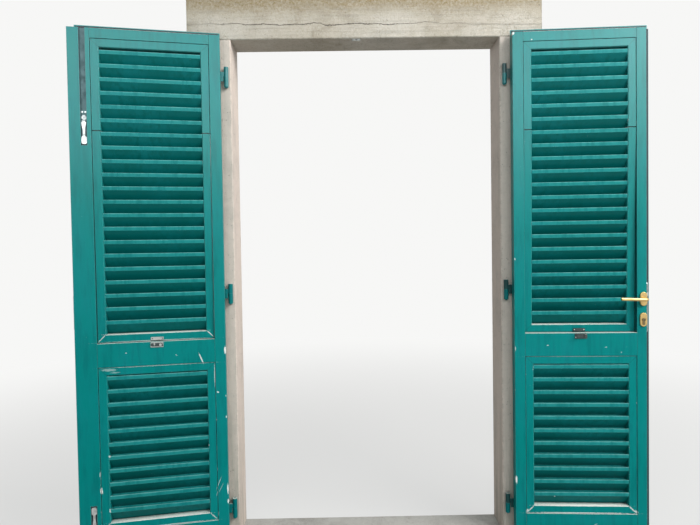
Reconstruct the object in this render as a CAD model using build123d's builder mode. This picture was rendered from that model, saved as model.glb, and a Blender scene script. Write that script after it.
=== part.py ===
"""A pair of louvred door shutters hung in a stone door surround.

Millimetres, +Z up. The origin lies on the ground, midway between the jambs, in
the plane of their front faces. The street is towards -Y. Both leaves stand
open, folded back beside the doorway, so their inner faces look at the street.
"""
import os
from dataclasses import dataclass
from math import cos, radians, sin, tan

from build123d import *

# Leaf section
LEAF_THICKNESS = 45
OUTER_FACE = 5              # from the hinge axis to the leaf's outer face
INNER_FACE = OUTER_FACE + LEAF_THICKNESS
WALL = 2                    # wall of every extrusion
ARRIS = 1.2                 # broken edge of the extrusions

# Leaf widths, from the hinge edge to the meeting edge
HINGE_STILE = 50
PANEL_OPENING = 516
ACTIVE_STILE = 45
PASSIVE_STILE = 94          # includes its inner lap
LAP = 21                    # reach of each lap at the meeting edges
LAP_CLEARANCE = 3           # between a lap and what it closes on
HEAD_LAP = 24               # reach of the lap over the lintel's front face
SEAL_WIDTH = 14             # rubber seal stuck on the laps
SEAL_THICKNESS = 2.5

# Leaf heights, from the foot upwards
BOTTOM_RAIL = 110
MID_RAIL = 110
TOP_RAIL = 45
SLAT_PITCH = 61
FIRST_NOSE = 66             # from a bottom bar's edge to the nose of the first slat
LOWER_SLATS = 11
FLAP_SLATS = 15
UPPER_SLATS = 6
LOWER_HEAD_SLOT = 1         # between the top slat and the bar above it
UPPER_HEAD_SLOT = 9

# Louvred panels
BAR = 36                    # face width of a panel bar
BAR_DEPTH = 38
BAR_SETBACK = 2             # panel bars lie just behind the leaf's inner face
BAR_FRONT = INNER_FACE - BAR_SETBACK
BAR_BACK = BAR_FRONT - BAR_DEPTH
BAR_BEVEL = 3
PANEL_GAP = 2
SEAT_DEPTH = 8              # rim that seats a fixed panel, at its back
SPLIT_GAP = 4               # between the fixed panel and the flap below it
FLAP_FOOT_GAP = 3
SLAT_THICKNESS = 11
SLAT_SLOPE = 56             # degrees below the horizontal, falling outwards
SLAT_SETBACK = 1            # from the bars' front back to the slats' noses
SLAT_BACK_GAP = 2           # from the slats' backs to the bars' backs
SLAT_FRONT = BAR_FRONT - SLAT_SETBACK
SLAT_BACK = BAR_BACK + SLAT_BACK_GAP
SLAT_REACH = SLAT_FRONT - SLAT_BACK
SLAT_RADIUS = 1
SLAT_LIP = 12               # drip lip that hangs from a slat's outer end
FLAP_SIDE_CLEARANCE = 1     # beside the fixed slat that hangs over the flap

# Hinges
KNUCKLE_RADIUS = 11
KNUCKLE_HEIGHT = 47
PINTLE_RADIUS = 6
PINTLE_CLEARANCE = 0.1
KNUCKLE_CLEARANCE = 0.3
WALL_CLEARANCE = 3          # between a knuckle and the jamb's face
HINGE_HEIGHTS = (138, 1180, 2214)
STRAP_THICKNESS = 4
STRAP_REACH = 66
STRAP_HEIGHT = 44
STRAP_SCREWS = ((36, -13), (36, 13), (56, 0))
TAIL = 12
TAIL_DEPTH = 90
TAIL_DROP = 24
SIDE_GAP = 6.5              # from the hinge edge to the reveal
PIN_INSET = 19.5            # from the reveal's arris back to the hinge axis
HINGE_EDGE = PIN_INSET + SIDE_GAP
MEETING_GAP = 7

# Flap pivots and catch
FLAP_PIN_RADIUS = 3.5
FLAP_PIN_CLEARANCE = 0.1
FLAP_PIN_DROP = 9           # below the flap's top edge
FLAP_PIN_SETBACK = 8        # from the bars' backs forward to the pins
FLAP_PIN_DEPTH = BAR_BACK + FLAP_PIN_SETBACK
FLAP_PIN_HOLD = 12          # length held in the stile
FLAP_PIN_REACH = 20         # length inside the flap's bar
CATCH_WIDTH = 56
PLATE_RADIUS = 2
KEEPER_HEIGHT = 24
KEEPER_THICKNESS = 3
STUD_PLATE_HEIGHT = 14
STUD_PLATE_THICKNESS = 2.5
CATCH_EDGE_GAP = 2.5        # from each plate to the edge that it lies beside
CATCH_OFFSET = 16           # hook pivot, off the middle of the plate
HOOK_THICKNESS = 4
HOOK_WIDTH = 15
HOOK_TAIL = 9
HOOK_TIP = 16
HOOK_CLEARANCE = 0.5
STUD_RADIUS = 3
STUD_HEAD_RADIUS = 6
STUD_HEAD_THICKNESS = 2.5

# Screws
SCREW_RADIUS = 2
SCREW_LENGTH = 12
SCREW_HEAD_RADIUS = 4.2
SCREW_HEAD_HEIGHT = 2.4

# Lever flush bolts in the passive leaf
CHANNEL_WIDTH = 27
CHANNEL_WALL = 1.5
CHANNEL_DEPTH = 11.5
CHANNEL_SETBACK = 62.5      # from the lap's edge to the channel's centre line
UPPER_PIVOT = 415           # from the leaf's top edge
LOWER_PIVOT = 125           # from the leaf's bottom edge
LEVER_LENGTH = 102
LEVER_THICKNESS = 5
LEVER_HUB_RADIUS = 3.6
LEVER_HUB_WIDTH = 14
LEVER_PIVOT_SETBACK = 4     # from the leaf's inner face back to the lever's hub
LEVER_PIVOT_DEPTH = INNER_FACE - LEVER_PIVOT_SETBACK
LEVER_NECK = 6              # from the hub's axis to the full width of the blade
LEVER_WAIST = 44            # along the lever, where the blade has narrowed
LEVER_GRIP = 66             # where the grip starts to widen
LEVER_SHOULDER = 72
LEVER_BLADE_HALF = 10
LEVER_STEM_HALF = 4.8
LEVER_GRIP_HALF = 11
LEVER_CLEARANCE = 0.4
LUG_HALF = 3
LUG_SHY = 0.5               # from the lugs' tops back to the leaf's inner face
CHANNEL_END_GAP = 7
CASE_WIDTH = 22
CASE_BASE = 1.5
CASE_BEHIND = 9
CASE_AHEAD = 52
BOSS_RADIUS = 10.5
BOSS_HEIGHT = 1.4
BOSS_OFFSET = 17
CASE_SCREW_OFFSET = 41
CASE_SCREW_SPACING = 13.5
LUG_WIDTH = 3
ROD_RADIUS = 5
ROD_CLEARANCE = 0.6         # in the sockets
ROD_GUIDE_CLEARANCE = 0.1
ROD_GUIDE_RADIUS = 8
ROD_GUIDE_LENGTH = 14
ROD_SETBACK = 1.5           # between a channel's back and its rod
ROD_DEPTH = INNER_FACE - CHANNEL_DEPTH - ROD_SETBACK - ROD_RADIUS
ROD_SHY = 2                 # the drawn rod stops this far inside the leaf's end
SOCKET_PLATE = (40, 24)
SOCKET_PLATE_THICKNESS = 3
SOCKET_DEPTH = 32

# Lock in the active leaf
LOCK_BACKSET = 17           # from the leaf's inner edge to the spindle
LOCK_CASE_THICKNESS = 15
LOCK_CASE_DEPTH = 36
LOCK_CASE_WALL = 1.5
LOCK_CASE_TOP = 44          # above the spindle
LOCK_CASE_FOOT = 29         # below the cylinder
LOCK_CLEARANCE = 0.4
FACEPLATE_ABOVE = 36        # beyond the case's top
FACEPLATE_BELOW = 32
FACEPLATE_WIDTH = 22
FACEPLATE_THICKNESS = 2.5
FACEPLATE_SCREW_PROUD = 0.6
SPINDLE_HEIGHT = 1131       # above the leaf's foot
SPINDLE = 8
SPINDLE_HOLE_RADIUS = 6.5
FOLLOWER_RADIUS = 9
CYLINDER_DROP = 97
CYLINDER_RADIUS = 8.5
CYLINDER_WEB = 10
CYLINDER_HEIGHT = 33
CYLINDER_PROUD = 3
LATCH_RISE = 21
LATCH_HEIGHT = 17
LATCH_THICKNESS = 10
LATCH_THROW = 10
LATCH_TAIL = 20
LATCH_SLOPE = 0.7           # share of the latch's throw that is sloped
DEAD_DROP = 48
DEAD_HEIGHT = 26
DEAD_THICKNESS = 9
DEAD_TAIL = 16
PLATE_WIDTH = 32            # ovals behind the lever and around the cylinder
PLATE_HEIGHT = 65
ROSE_THICKNESS = 8
ESCUTCHEON_THICKNESS = 6
NECK_RADIUS = 9.5
NECK_CLEARANCE = 0.3
LEVER_PROJECTION = 58       # from the leaf's inner face to the lever's far side
KNOB_PROJECTION = 44        # from the leaf's outer face
KNOB_RADIUS = 17
KNOB_NECK = 16              # length of the knob's neck
KNOB_SHOULDER = 6
HANDLE_LENGTH = 122
HANDLE_HALF_WIDTH = 6.5
HANDLE_HALF_HEIGHT = 7.5
HANDLE_BEND = 16
HANDLE_RISE = 2.0           # degrees above the horizontal at the tip
STRIKE_THICKNESS = 1.5
STRIKE_WIDTH = 18
STRIKE_HEIGHT = 150
STRIKE_CLEARANCE = 1.5

# Surround
FOOT_GAP = 10
HEAD_GAP = 6
JAMB_WIDTH = 85
SURROUND_DEPTH = 160
LINTEL_OVERHANG = 207
LINTEL_HEIGHT = 220
THRESHOLD_HEIGHT = 40
STONE_ARRIS = 4

# Pose in which the pair is stored
PASSIVE_OPEN = 169.6        # degrees from closed
ACTIVE_OPEN = 176.5
PASSIVE_FLAP = 0.5
ACTIVE_FLAP = 1.4

# Heights that follow, from the leaf's foot
LOWER_SILL = BOTTOM_RAIL + PANEL_GAP + BAR
LOWER_TOP_NOSE = LOWER_SILL + FIRST_NOSE + (LOWER_SLATS - 1) * SLAT_PITCH
MID_FOOT = LOWER_TOP_NOSE + LOWER_HEAD_SLOT + BAR + PANEL_GAP
MID_HEAD = MID_FOOT + MID_RAIL
FLAP_FOOT = MID_HEAD + FLAP_FOOT_GAP
FLAP_SILL = FLAP_FOOT + BAR
FLAP_HEAD = FLAP_SILL + FIRST_NOSE + (FLAP_SLATS - 1) * SLAT_PITCH
UPPER_FOOT = FLAP_HEAD + SPLIT_GAP
UPPER_NOSE = FLAP_HEAD + SLAT_PITCH
UPPER_HEAD = FLAP_HEAD + UPPER_SLATS * SLAT_PITCH + UPPER_HEAD_SLOT + BAR
TOP_FOOT = UPPER_HEAD + PANEL_GAP
LEAF_HEIGHT = TOP_FOOT + TOP_RAIL

# Plan sizes that follow
PANEL_START = HINGE_EDGE + HINGE_STILE
PANEL_END = PANEL_START + PANEL_OPENING
ACTIVE_WIDTH = HINGE_STILE + PANEL_OPENING + ACTIVE_STILE
PASSIVE_WIDTH = HINGE_STILE + PANEL_OPENING + PASSIVE_STILE
OPENING_WIDTH = ACTIVE_WIDTH + PASSIVE_WIDTH + MEETING_GAP + 2 * SIDE_GAP
OPENING_HEIGHT = LEAF_HEIGHT + FOOT_GAP + HEAD_GAP
PIN_X = OPENING_WIDTH / 2 + PIN_INSET
PIN_Y = -(KNUCKLE_RADIUS + WALL_CLEARANCE)
LEAF_FOOT = THRESHOLD_HEIGHT + FOOT_GAP
LINTEL_FOOT = THRESHOLD_HEIGHT + OPENING_HEIGHT
LAP_SPLIT = (INNER_FACE + OUTER_FACE + LAP_CLEARANCE) / 2
LAP_FACE = LAP_SPLIT - LAP_CLEARANCE
HEAD_LAP_FACE = -PIN_Y - LAP_CLEARANCE
CATCH_CENTRE = (PANEL_START + PANEL_END) / 2
PIVOT_HEIGHT = FLAP_HEAD - FLAP_PIN_DROP
NOSE_HEIGHT = SLAT_THICKNESS / cos(radians(SLAT_SLOPE))
CHANNEL_X = HINGE_EDGE + PASSIVE_WIDTH - CHANNEL_SETBACK
CHANNEL_FLOOR = INNER_FACE - CHANNEL_DEPTH + CHANNEL_WALL
LOCK_EDGE = HINGE_EDGE + ACTIVE_WIDTH
SPINDLE_X = LOCK_EDGE - LOCK_BACKSET
LOCK_DEPTH = (LAP_SPLIT + INNER_FACE) / 2
CYLINDER_AT = SPINDLE_HEIGHT - CYLINDER_DROP
CASE_HEAD = SPINDLE_HEIGHT + LOCK_CASE_TOP
CASE_FOOT = CYLINDER_AT - LOCK_CASE_FOOT
FACEPLATE_HEAD = CASE_HEAD + FACEPLATE_ABOVE
FACEPLATE_FOOT = CASE_FOOT - FACEPLATE_BELOW
LATCH_AT = SPINDLE_HEIGHT + LATCH_RISE
DEAD_AT = SPINDLE_HEIGHT - DEAD_DROP
HOOK_PLANE = INNER_FACE + KEEPER_THICKNESS + HOOK_CLEARANCE
HOOK_AT = MID_HEAD - CATCH_EDGE_GAP - KEEPER_HEIGHT / 2
STUD_AT = FLAP_FOOT + CATCH_EDGE_GAP + STUD_PLATE_HEIGHT / 2

TOUCH = 1e-3                # allowance when positions are compared


@dataclass
class Leaf:
    """One shutter leaf. u runs from its hinge axis to its meeting edge."""

    name: str
    side: int               # +1 where u runs along the leaf plane's x axis
    opened: float           # degrees from closed
    flap_opened: float

    @property
    def base(self):
        """Plane on the hinge axis at the leaf's foot: y leads to the inner face."""
        turn = radians(-self.side * self.opened)
        return Plane(
            origin=(-self.side * PIN_X, PIN_Y, LEAF_FOOT),
            x_dir=(cos(turn), sin(turn), 0),
            z_dir=(0, 0, 1),
        )

    @property
    def flap_base(self):
        """Plane on the flap's pivot, tilted with the flap."""
        base = self.base
        tilt = radians(self.flap_opened)
        return Plane(
            origin=base.from_local_coords((0, FLAP_PIN_DEPTH, PIVOT_HEIGHT)),
            x_dir=base.x_dir,
            z_dir=base.y_dir * sin(tilt) + base.z_dir * cos(tilt),
        )

    def span(self, start, end):
        """Stretch from start to end along u, as low and high x on the planes."""
        return sorted((self.side * start, self.side * end))


PASSIVE = Leaf("left", 1, PASSIVE_OPEN, PASSIVE_FLAP)
ACTIVE = Leaf("right", -1, ACTIVE_OPEN, ACTIVE_FLAP)
LEAVES = (PASSIVE, ACTIVE)


def facing(base, depth):
    """Plane parallel to the leaf's faces: x along the leaf, y up, normal outwards."""
    return Plane(
        origin=base.from_local_coords((0, depth, 0)),
        x_dir=base.x_dir,
        z_dir=base.y_dir * -1,
    )


def across(base, x):
    """Plane square to the leaf's length: x towards the inner face, y up."""
    return Plane(
        origin=base.from_local_coords((x, 0, 0)),
        x_dir=base.y_dir,
        z_dir=base.x_dir,
    )


def level(base, height):
    """Horizontal plane of a leaf at a height above its foot."""
    return base.offset(height)


def rectangle(low, high, mode=Mode.ADD):
    """Rectangle between two corners in the sketch being built."""
    with Locations(((low[0] + high[0]) / 2, (low[1] + high[1]) / 2)):
        Rectangle(high[0] - low[0], high[1] - low[1], mode=mode)


def save(part, name):
    """Label a finished piece and write its STEP file."""
    part.label = name
    export_step(part, f"parts/{name}.step")


# Leaf frame: closed box extrusions, stiles full height, rails between them

def stile_outline(leaf, kind):
    """Plan of a stile as corner points, in u and depth."""
    if kind == "hinge":
        return [
            (HINGE_EDGE, OUTER_FACE),
            (PANEL_START, OUTER_FACE),
            (PANEL_START, INNER_FACE),
            (HINGE_EDGE, INNER_FACE),
        ]
    if leaf is PASSIVE:
        edge = HINGE_EDGE + PASSIVE_WIDTH
        return [
            (PANEL_END, OUTER_FACE),
            (edge - LAP, OUTER_FACE),
            (edge - LAP, LAP_SPLIT),
            (edge, LAP_SPLIT),
            (edge, INNER_FACE),
            (PANEL_END, INNER_FACE),
        ]
    edge = HINGE_EDGE + ACTIVE_WIDTH
    return [
        (PANEL_END, OUTER_FACE),
        (edge + LAP, OUTER_FACE),
        (edge + LAP, LAP_FACE),
        (edge, LAP_FACE),
        (edge, INNER_FACE),
        (PANEL_END, INNER_FACE),
    ]


def stile_tube(leaf, kind):
    """Box extrusion with closed ends and broken long edges."""
    points = [(leaf.side * u, depth) for u, depth in stile_outline(leaf, kind)]
    with BuildPart() as stile:
        with BuildSketch(level(leaf.base, 0)):
            Polygon(*points, align=None)
        extrude(amount=LEAF_HEIGHT)
        chamfer(stile.edges().filter_by(Axis.Z), length=ARRIS)
        with BuildSketch(level(leaf.base, WALL)):
            Polygon(*points, align=None)
            offset(amount=-WALL, kind=Kind.INTERSECTION, mode=Mode.REPLACE)
        extrude(amount=LEAF_HEIGHT - 2 * WALL, mode=Mode.SUBTRACT)
    return stile.part


def screw_points():
    """Strap screw positions on a leaf's outer face, in u and height."""
    return [(u, at + rise) for at in HINGE_HEIGHTS for u, rise in STRAP_SCREWS]


def make_hinge_stile(leaf):
    with BuildPart() as stile:
        add(stile_tube(leaf, "hinge"))
        with BuildSketch(facing(leaf.base, OUTER_FACE + WALL)):
            with Locations(*[(leaf.side * u, rise) for u, rise in screw_points()]):
                Circle(SCREW_RADIUS)
        extrude(amount=WALL, mode=Mode.SUBTRACT)
        low, high = leaf.span(PANEL_START - WALL, PANEL_START)
        with BuildSketch(across(leaf.base, low)):
            with Locations((FLAP_PIN_DEPTH, PIVOT_HEIGHT)):
                Circle(FLAP_PIN_RADIUS)
        extrude(amount=high - low, mode=Mode.SUBTRACT)
    save(stile.part, f"{leaf.name}_hinge_stile")


def cut_flap_pin(leaf):
    """Hole for the flap's pivot pin in a meeting stile's inner side."""
    low, high = leaf.span(PANEL_END, PANEL_END + WALL)
    with BuildSketch(across(leaf.base, low)) as hole:
        with Locations((FLAP_PIN_DEPTH, PIVOT_HEIGHT)):
            Circle(FLAP_PIN_RADIUS)
    extrude(hole.sketch, amount=high - low, mode=Mode.SUBTRACT)


def channel_stretches():
    """Height range, pivot height and pull direction of both flush bolts."""
    upper_pivot = LEAF_HEIGHT - UPPER_PIVOT
    upper_end = upper_pivot - LEVER_LENGTH - CHANNEL_END_GAP
    lower_end = LOWER_PIVOT + LEVER_LENGTH + CHANNEL_END_GAP
    return (
        ("upper", upper_end, LEAF_HEIGHT, upper_pivot, 1),
        ("lower", 0, lower_end, LOWER_PIVOT, -1),
    )


def lock_windows(clearance):
    """Latch and dead bolt outlines in the sketch being built."""
    with Locations((LOCK_DEPTH, LATCH_AT)):
        Rectangle(LATCH_THICKNESS + 2 * clearance, LATCH_HEIGHT + 2 * clearance)
    with Locations((LOCK_DEPTH, DEAD_AT)):
        Rectangle(DEAD_THICKNESS + 2 * clearance, DEAD_HEIGHT + 2 * clearance)


def make_passive_stile():
    leaf = PASSIVE
    edge = HINGE_EDGE + PASSIVE_WIDTH
    with BuildPart() as stile:
        add(stile_tube(leaf, "meeting"))
        cut_flap_pin(leaf)
        # guides for the rods, behind both closed ends
        for foot in (0, LEAF_HEIGHT - ROD_GUIDE_LENGTH):
            with BuildSketch(level(leaf.base, foot)):
                with Locations((CHANNEL_X, ROD_DEPTH)):
                    Circle(ROD_GUIDE_RADIUS)
            extrude(amount=ROD_GUIDE_LENGTH)
            with BuildSketch(level(leaf.base, foot)):
                with Locations((CHANNEL_X, ROD_DEPTH)):
                    Circle(ROD_RADIUS + ROD_GUIDE_CLEARANCE)
            extrude(amount=ROD_GUIDE_LENGTH, mode=Mode.SUBTRACT)
        # slots in which the flush-bolt channels lie
        for _, low, high, _, _ in channel_stretches():
            with BuildSketch(facing(leaf.base, INNER_FACE)):
                rectangle(
                    (CHANNEL_X - CHANNEL_WIDTH / 2, low),
                    (CHANNEL_X + CHANNEL_WIDTH / 2, high),
                )
            extrude(amount=CHANNEL_DEPTH, mode=Mode.SUBTRACT)
        # windows behind the strike plate
        with BuildSketch(across(leaf.base, edge - WALL)):
            lock_windows(STRIKE_CLEARANCE)
        extrude(amount=WALL, mode=Mode.SUBTRACT)
    save(stile.part, f"{leaf.name}_meeting_stile")


def cylinder_outline(at, clearance):
    """Profile cylinder section in the sketch being built."""
    with Locations(at):
        Circle(CYLINDER_RADIUS + clearance)
    web_centre = at[1] + CYLINDER_RADIUS - CYLINDER_HEIGHT / 2
    with Locations((at[0], web_centre)):
        SlotOverall(
            CYLINDER_HEIGHT + 2 * clearance, CYLINDER_WEB + 2 * clearance, rotation=90
        )


def make_active_stile():
    leaf = ACTIVE
    spindle = (leaf.side * SPINDLE_X, SPINDLE_HEIGHT)
    cylinder = (leaf.side * SPINDLE_X, CYLINDER_AT)
    with BuildPart() as stile:
        add(stile_tube(leaf, "meeting"))
        cut_flap_pin(leaf)
        with BuildSketch(facing(leaf.base, INNER_FACE)):
            with Locations(spindle):
                Circle(NECK_RADIUS)
            cylinder_outline(cylinder, LOCK_CLEARANCE)
        extrude(amount=LEAF_THICKNESS, mode=Mode.SUBTRACT)
        # slot in the edge that the lock case slides into
        low, high = leaf.span(LOCK_EDGE - WALL, LOCK_EDGE)
        with BuildSketch(across(leaf.base, low)):
            rectangle(
                (LOCK_DEPTH - LOCK_CASE_THICKNESS / 2, CASE_FOOT),
                (LOCK_DEPTH + LOCK_CASE_THICKNESS / 2, CASE_HEAD),
            )
            for rise in faceplate_screws():
                with Locations((LOCK_DEPTH, rise)):
                    Circle(SCREW_RADIUS)
        extrude(amount=high - low, mode=Mode.SUBTRACT)
    save(stile.part, f"{leaf.name}_meeting_stile")


def rail_tube(leaf, foot, height):
    """Open-ended box extrusion between the stiles."""
    low, high = leaf.span(PANEL_START, PANEL_END)
    with BuildPart() as rail:
        with BuildSketch(level(leaf.base, foot)):
            rectangle((low, OUTER_FACE), (high, INNER_FACE))
        extrude(amount=height)
        long_edges = rail.edges().filter_by(lambda e: e.length > PANEL_OPENING - 1)
        chamfer(long_edges, length=ARRIS)
        with BuildSketch(level(leaf.base, foot + WALL)):
            rectangle((low, OUTER_FACE + WALL), (high, INNER_FACE - WALL))
        extrude(amount=height - 2 * WALL, mode=Mode.SUBTRACT)
    return rail.part


def lap_reach(leaf):
    """Distance u at which the outer half of a leaf ends."""
    if leaf is PASSIVE:
        return HINGE_EDGE + PASSIVE_WIDTH - LAP
    return HINGE_EDGE + ACTIVE_WIDTH + LAP


def make_top_rail(leaf):
    """Top rail with a lip along the whole leaf that laps over the lintel."""
    low, high = leaf.span(HINGE_EDGE, lap_reach(leaf))
    with BuildPart() as rail:
        add(rail_tube(leaf, TOP_FOOT, TOP_RAIL))
        with BuildSketch(level(leaf.base, LEAF_HEIGHT)):
            rectangle((low, OUTER_FACE), (high, HEAD_LAP_FACE))
        extrude(amount=HEAD_LAP)
    save(rail.part, f"{leaf.name}_top_rail")


def make_lap_seal(leaf):
    """Flat rubber seal on the head lap, and down the active leaf's own lap."""
    shy = (HEAD_LAP - SEAL_WIDTH) / 2
    low, high = leaf.span(HINGE_EDGE + shy, lap_reach(leaf) - shy)
    foot = LEAF_HEIGHT + shy
    with BuildPart() as seal:
        with BuildSketch(facing(leaf.base, HEAD_LAP_FACE + SEAL_THICKNESS)):
            rectangle((low, foot), (high, foot + SEAL_WIDTH))
        extrude(amount=SEAL_THICKNESS)
        if leaf is ACTIVE:
            side_shy = (LAP - SEAL_WIDTH) / 2
            end = lap_reach(leaf) - side_shy
            low, high = leaf.span(end - SEAL_WIDTH, end)
            with BuildSketch(facing(leaf.base, LAP_FACE + SEAL_THICKNESS)):
                rectangle((low, 0), (high, LEAF_HEIGHT))
            extrude(amount=SEAL_THICKNESS)
    save(seal.part, f"{leaf.name}_lap_seal")


# Louvred panels: hollow bars mitred at the corners, slats housed between them

def mitred_bar(base, front, outline, cavity, bevel_at):
    """Hollow bar from its face outline and the outline of its chamber."""
    with BuildPart() as bar:
        with BuildSketch(facing(base, front)):
            Polygon(*outline, align=None)
        extrude(amount=BAR_DEPTH)
        middle = base.from_local_coords((bevel_at[0], front, bevel_at[1]))
        arris = bar.edges().sort_by_distance(middle)[0]
        chamfer(arris, length=BAR_BEVEL)
        with BuildSketch(facing(base, front - WALL)):
            Polygon(*cavity, align=None)
        extrude(amount=BAR_DEPTH - 2 * WALL, mode=Mode.SUBTRACT)
    return bar.part


def panel_bars(leaf, base, front, foot, head, has_foot, has_head):
    """Mitred bars around a panel. Heights are measured on the given plane."""
    low, high = leaf.span(PANEL_START + PANEL_GAP, PANEL_END - PANEL_GAP)
    middle = (low + high) / 2
    rise = (foot + head) / 2
    foot_in = BAR if has_foot else 0
    head_in = BAR if has_head else 0
    bars = []
    for edge, inward in ((low, 1), (high, -1)):
        outline = [
            (edge, foot),
            (edge + inward * BAR, foot + foot_in),
            (edge + inward * BAR, head - head_in),
            (edge, head),
        ]
        cavity = [
            (edge + inward * WALL, foot + WALL),
            (edge + inward * (BAR - WALL), foot + max(foot_in - WALL, WALL)),
            (edge + inward * (BAR - WALL), head - max(head_in - WALL, WALL)),
            (edge + inward * WALL, head - WALL),
        ]
        bevel_at = (edge + inward * BAR, rise)
        bars.append(mitred_bar(base, front, outline, cavity, bevel_at))
    for edge, inward, present in ((foot, 1, has_foot), (head, -1, has_head)):
        if not present:
            continue
        outline = [
            (low, edge),
            (high, edge),
            (high - BAR, edge + inward * BAR),
            (low + BAR, edge + inward * BAR),
        ]
        cavity = [
            (low + WALL, edge + inward * WALL),
            (high - WALL, edge + inward * WALL),
            (high - BAR + WALL, edge + inward * (BAR - WALL)),
            (low + BAR - WALL, edge + inward * (BAR - WALL)),
        ]
        bevel_at = (middle, edge + inward * BAR)
        bars.append(mitred_bar(base, front, outline, cavity, bevel_at))
    return bars


def slat_outline(front, nose, foot):
    """Section of one slat in the sketch being built, cut level at the foot."""
    back = front - SLAT_REACH
    fall = SLAT_REACH * tan(radians(SLAT_SLOPE))
    Polygon(
        (front, nose),
        (front, nose - NOSE_HEIGHT),
        (back, nose - NOSE_HEIGHT - fall),
        (back, nose - fall),
        align=None,
    )
    rectangle((back, max(foot, nose - NOSE_HEIGHT - fall)), (front, nose), Mode.INTERSECT)


def drip_lip(back, nose, foot):
    """Lip below a slat's outer end, left off where the slat is cut level."""
    end = nose - NOSE_HEIGHT - SLAT_REACH * tan(radians(SLAT_SLOPE))
    if end - SLAT_LIP > foot:
        rectangle((back, end - SLAT_LIP), (back + WALL, end + NOSE_HEIGHT / 2))


def slat_rows(leaf, base, front, noses, foot):
    """Hollow slats, falling outwards between a panel's side bars."""
    inset = PANEL_GAP + BAR
    low, high = leaf.span(PANEL_START + inset, PANEL_END - inset)
    with BuildPart() as slats:
        for nose in noses:
            with BuildSketch(across(base, low)) as section:
                slat_outline(front, nose, foot)
                fillet(section.vertices(), radius=SLAT_RADIUS)
                with BuildSketch(mode=Mode.PRIVATE) as chamber:
                    slat_outline(front, nose, foot)
                    offset(amount=-WALL, kind=Kind.INTERSECTION, mode=Mode.REPLACE)
                add(chamber.sketch, mode=Mode.SUBTRACT)
                drip_lip(front - SLAT_REACH, nose, foot)
            extrude(amount=high - low)
    return slats.part


def noses_from(first, count):
    """Heights of slat noses, one pitch apart."""
    return [first + SLAT_PITCH * i for i in range(count)]


def seat_rim(leaf, foot, head, below):
    """Rim at the back of a fixed panel, bearing on the stiles and rails."""
    low, high = leaf.span(PANEL_START, PANEL_END)
    with BuildPart() as rim:
        with BuildSketch(facing(leaf.base, BAR_BACK + SEAT_DEPTH)):
            rectangle((low, foot - below), (high, head + PANEL_GAP))
            rectangle((low + PANEL_GAP, foot), (high - PANEL_GAP, head), Mode.SUBTRACT)
        extrude(amount=SEAT_DEPTH)
    return rim.part


def make_fixed_panels(leaf):
    base = leaf.base
    with BuildPart() as upper_frame:
        for bar in panel_bars(leaf, base, BAR_FRONT, UPPER_FOOT, UPPER_HEAD, False, True):
            add(bar)
        add(seat_rim(leaf, UPPER_FOOT, UPPER_HEAD, 0))
    save(upper_frame.part, f"{leaf.name}_upper_frame")
    inset = PANEL_GAP + BAR
    with BuildPart() as upper_slats:
        add(slat_rows(leaf, base, SLAT_FRONT, noses_from(UPPER_NOSE, UPPER_SLATS), 0))
        # the lowest slat hangs over the flap and stays clear of its side bars
        for start, end in (
            (PANEL_START + inset, PANEL_START + inset + FLAP_SIDE_CLEARANCE),
            (PANEL_END - inset - FLAP_SIDE_CLEARANCE, PANEL_END - inset),
        ):
            low, high = leaf.span(start, end)
            with BuildSketch(across(base, low)):
                rectangle((BAR_BACK, MID_HEAD), (BAR_FRONT, UPPER_FOOT))
            extrude(amount=high - low, mode=Mode.SUBTRACT)
    save(upper_slats.part, f"{leaf.name}_upper_slats")

    lower_head = MID_FOOT - PANEL_GAP
    lower_foot = LOWER_SILL - BAR
    with BuildPart() as lower_frame:
        for bar in panel_bars(leaf, base, BAR_FRONT, lower_foot, lower_head, True, True):
            add(bar)
        add(seat_rim(leaf, lower_foot, lower_head, PANEL_GAP))
    save(lower_frame.part, f"{leaf.name}_lower_frame")
    noses = noses_from(LOWER_SILL + FIRST_NOSE, LOWER_SLATS)
    slats = slat_rows(leaf, base, SLAT_FRONT, noses, LOWER_SILL)
    save(slats, f"{leaf.name}_lower_slats")


# Flap: hangs on two pins at its top corners and swings out at the foot

def make_flap(leaf):
    base = leaf.flap_base
    foot = FLAP_FOOT - PIVOT_HEIGHT
    head = FLAP_HEAD - PIVOT_HEIGHT
    sill = FLAP_SILL - PIVOT_HEIGHT
    front = BAR_FRONT - FLAP_PIN_DEPTH
    low, high = leaf.span(PANEL_START + PANEL_GAP, PANEL_END - PANEL_GAP)
    with BuildPart() as frame:
        for bar in panel_bars(leaf, base, front, foot, head, True, False):
            add(bar)
        for start in (low, high - WALL):
            with BuildSketch(across(base, start)):
                Circle(FLAP_PIN_RADIUS + FLAP_PIN_CLEARANCE)
            extrude(amount=WALL, mode=Mode.SUBTRACT)
    save(frame.part, f"{leaf.name}_flap_frame")
    noses = noses_from(sill + FIRST_NOSE, FLAP_SLATS)
    slats = slat_rows(leaf, base, SLAT_FRONT - FLAP_PIN_DEPTH, noses, sill)
    save(slats, f"{leaf.name}_flap_slats")


def make_flap_pins(leaf):
    reach = PANEL_GAP + FLAP_PIN_REACH
    with BuildPart() as pins:
        for start, end in (
            (PANEL_START - FLAP_PIN_HOLD, PANEL_START + reach),
            (PANEL_END - reach, PANEL_END + FLAP_PIN_HOLD),
        ):
            low, high = leaf.span(start, end)
            with BuildSketch(across(leaf.base, low)):
                with Locations((FLAP_PIN_DEPTH, PIVOT_HEIGHT)):
                    Circle(FLAP_PIN_RADIUS)
            extrude(amount=high - low)
    save(pins.part, f"{leaf.name}_flap_pins")


def hook_x(leaf):
    return leaf.side * (CATCH_CENTRE - CATCH_OFFSET)


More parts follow.
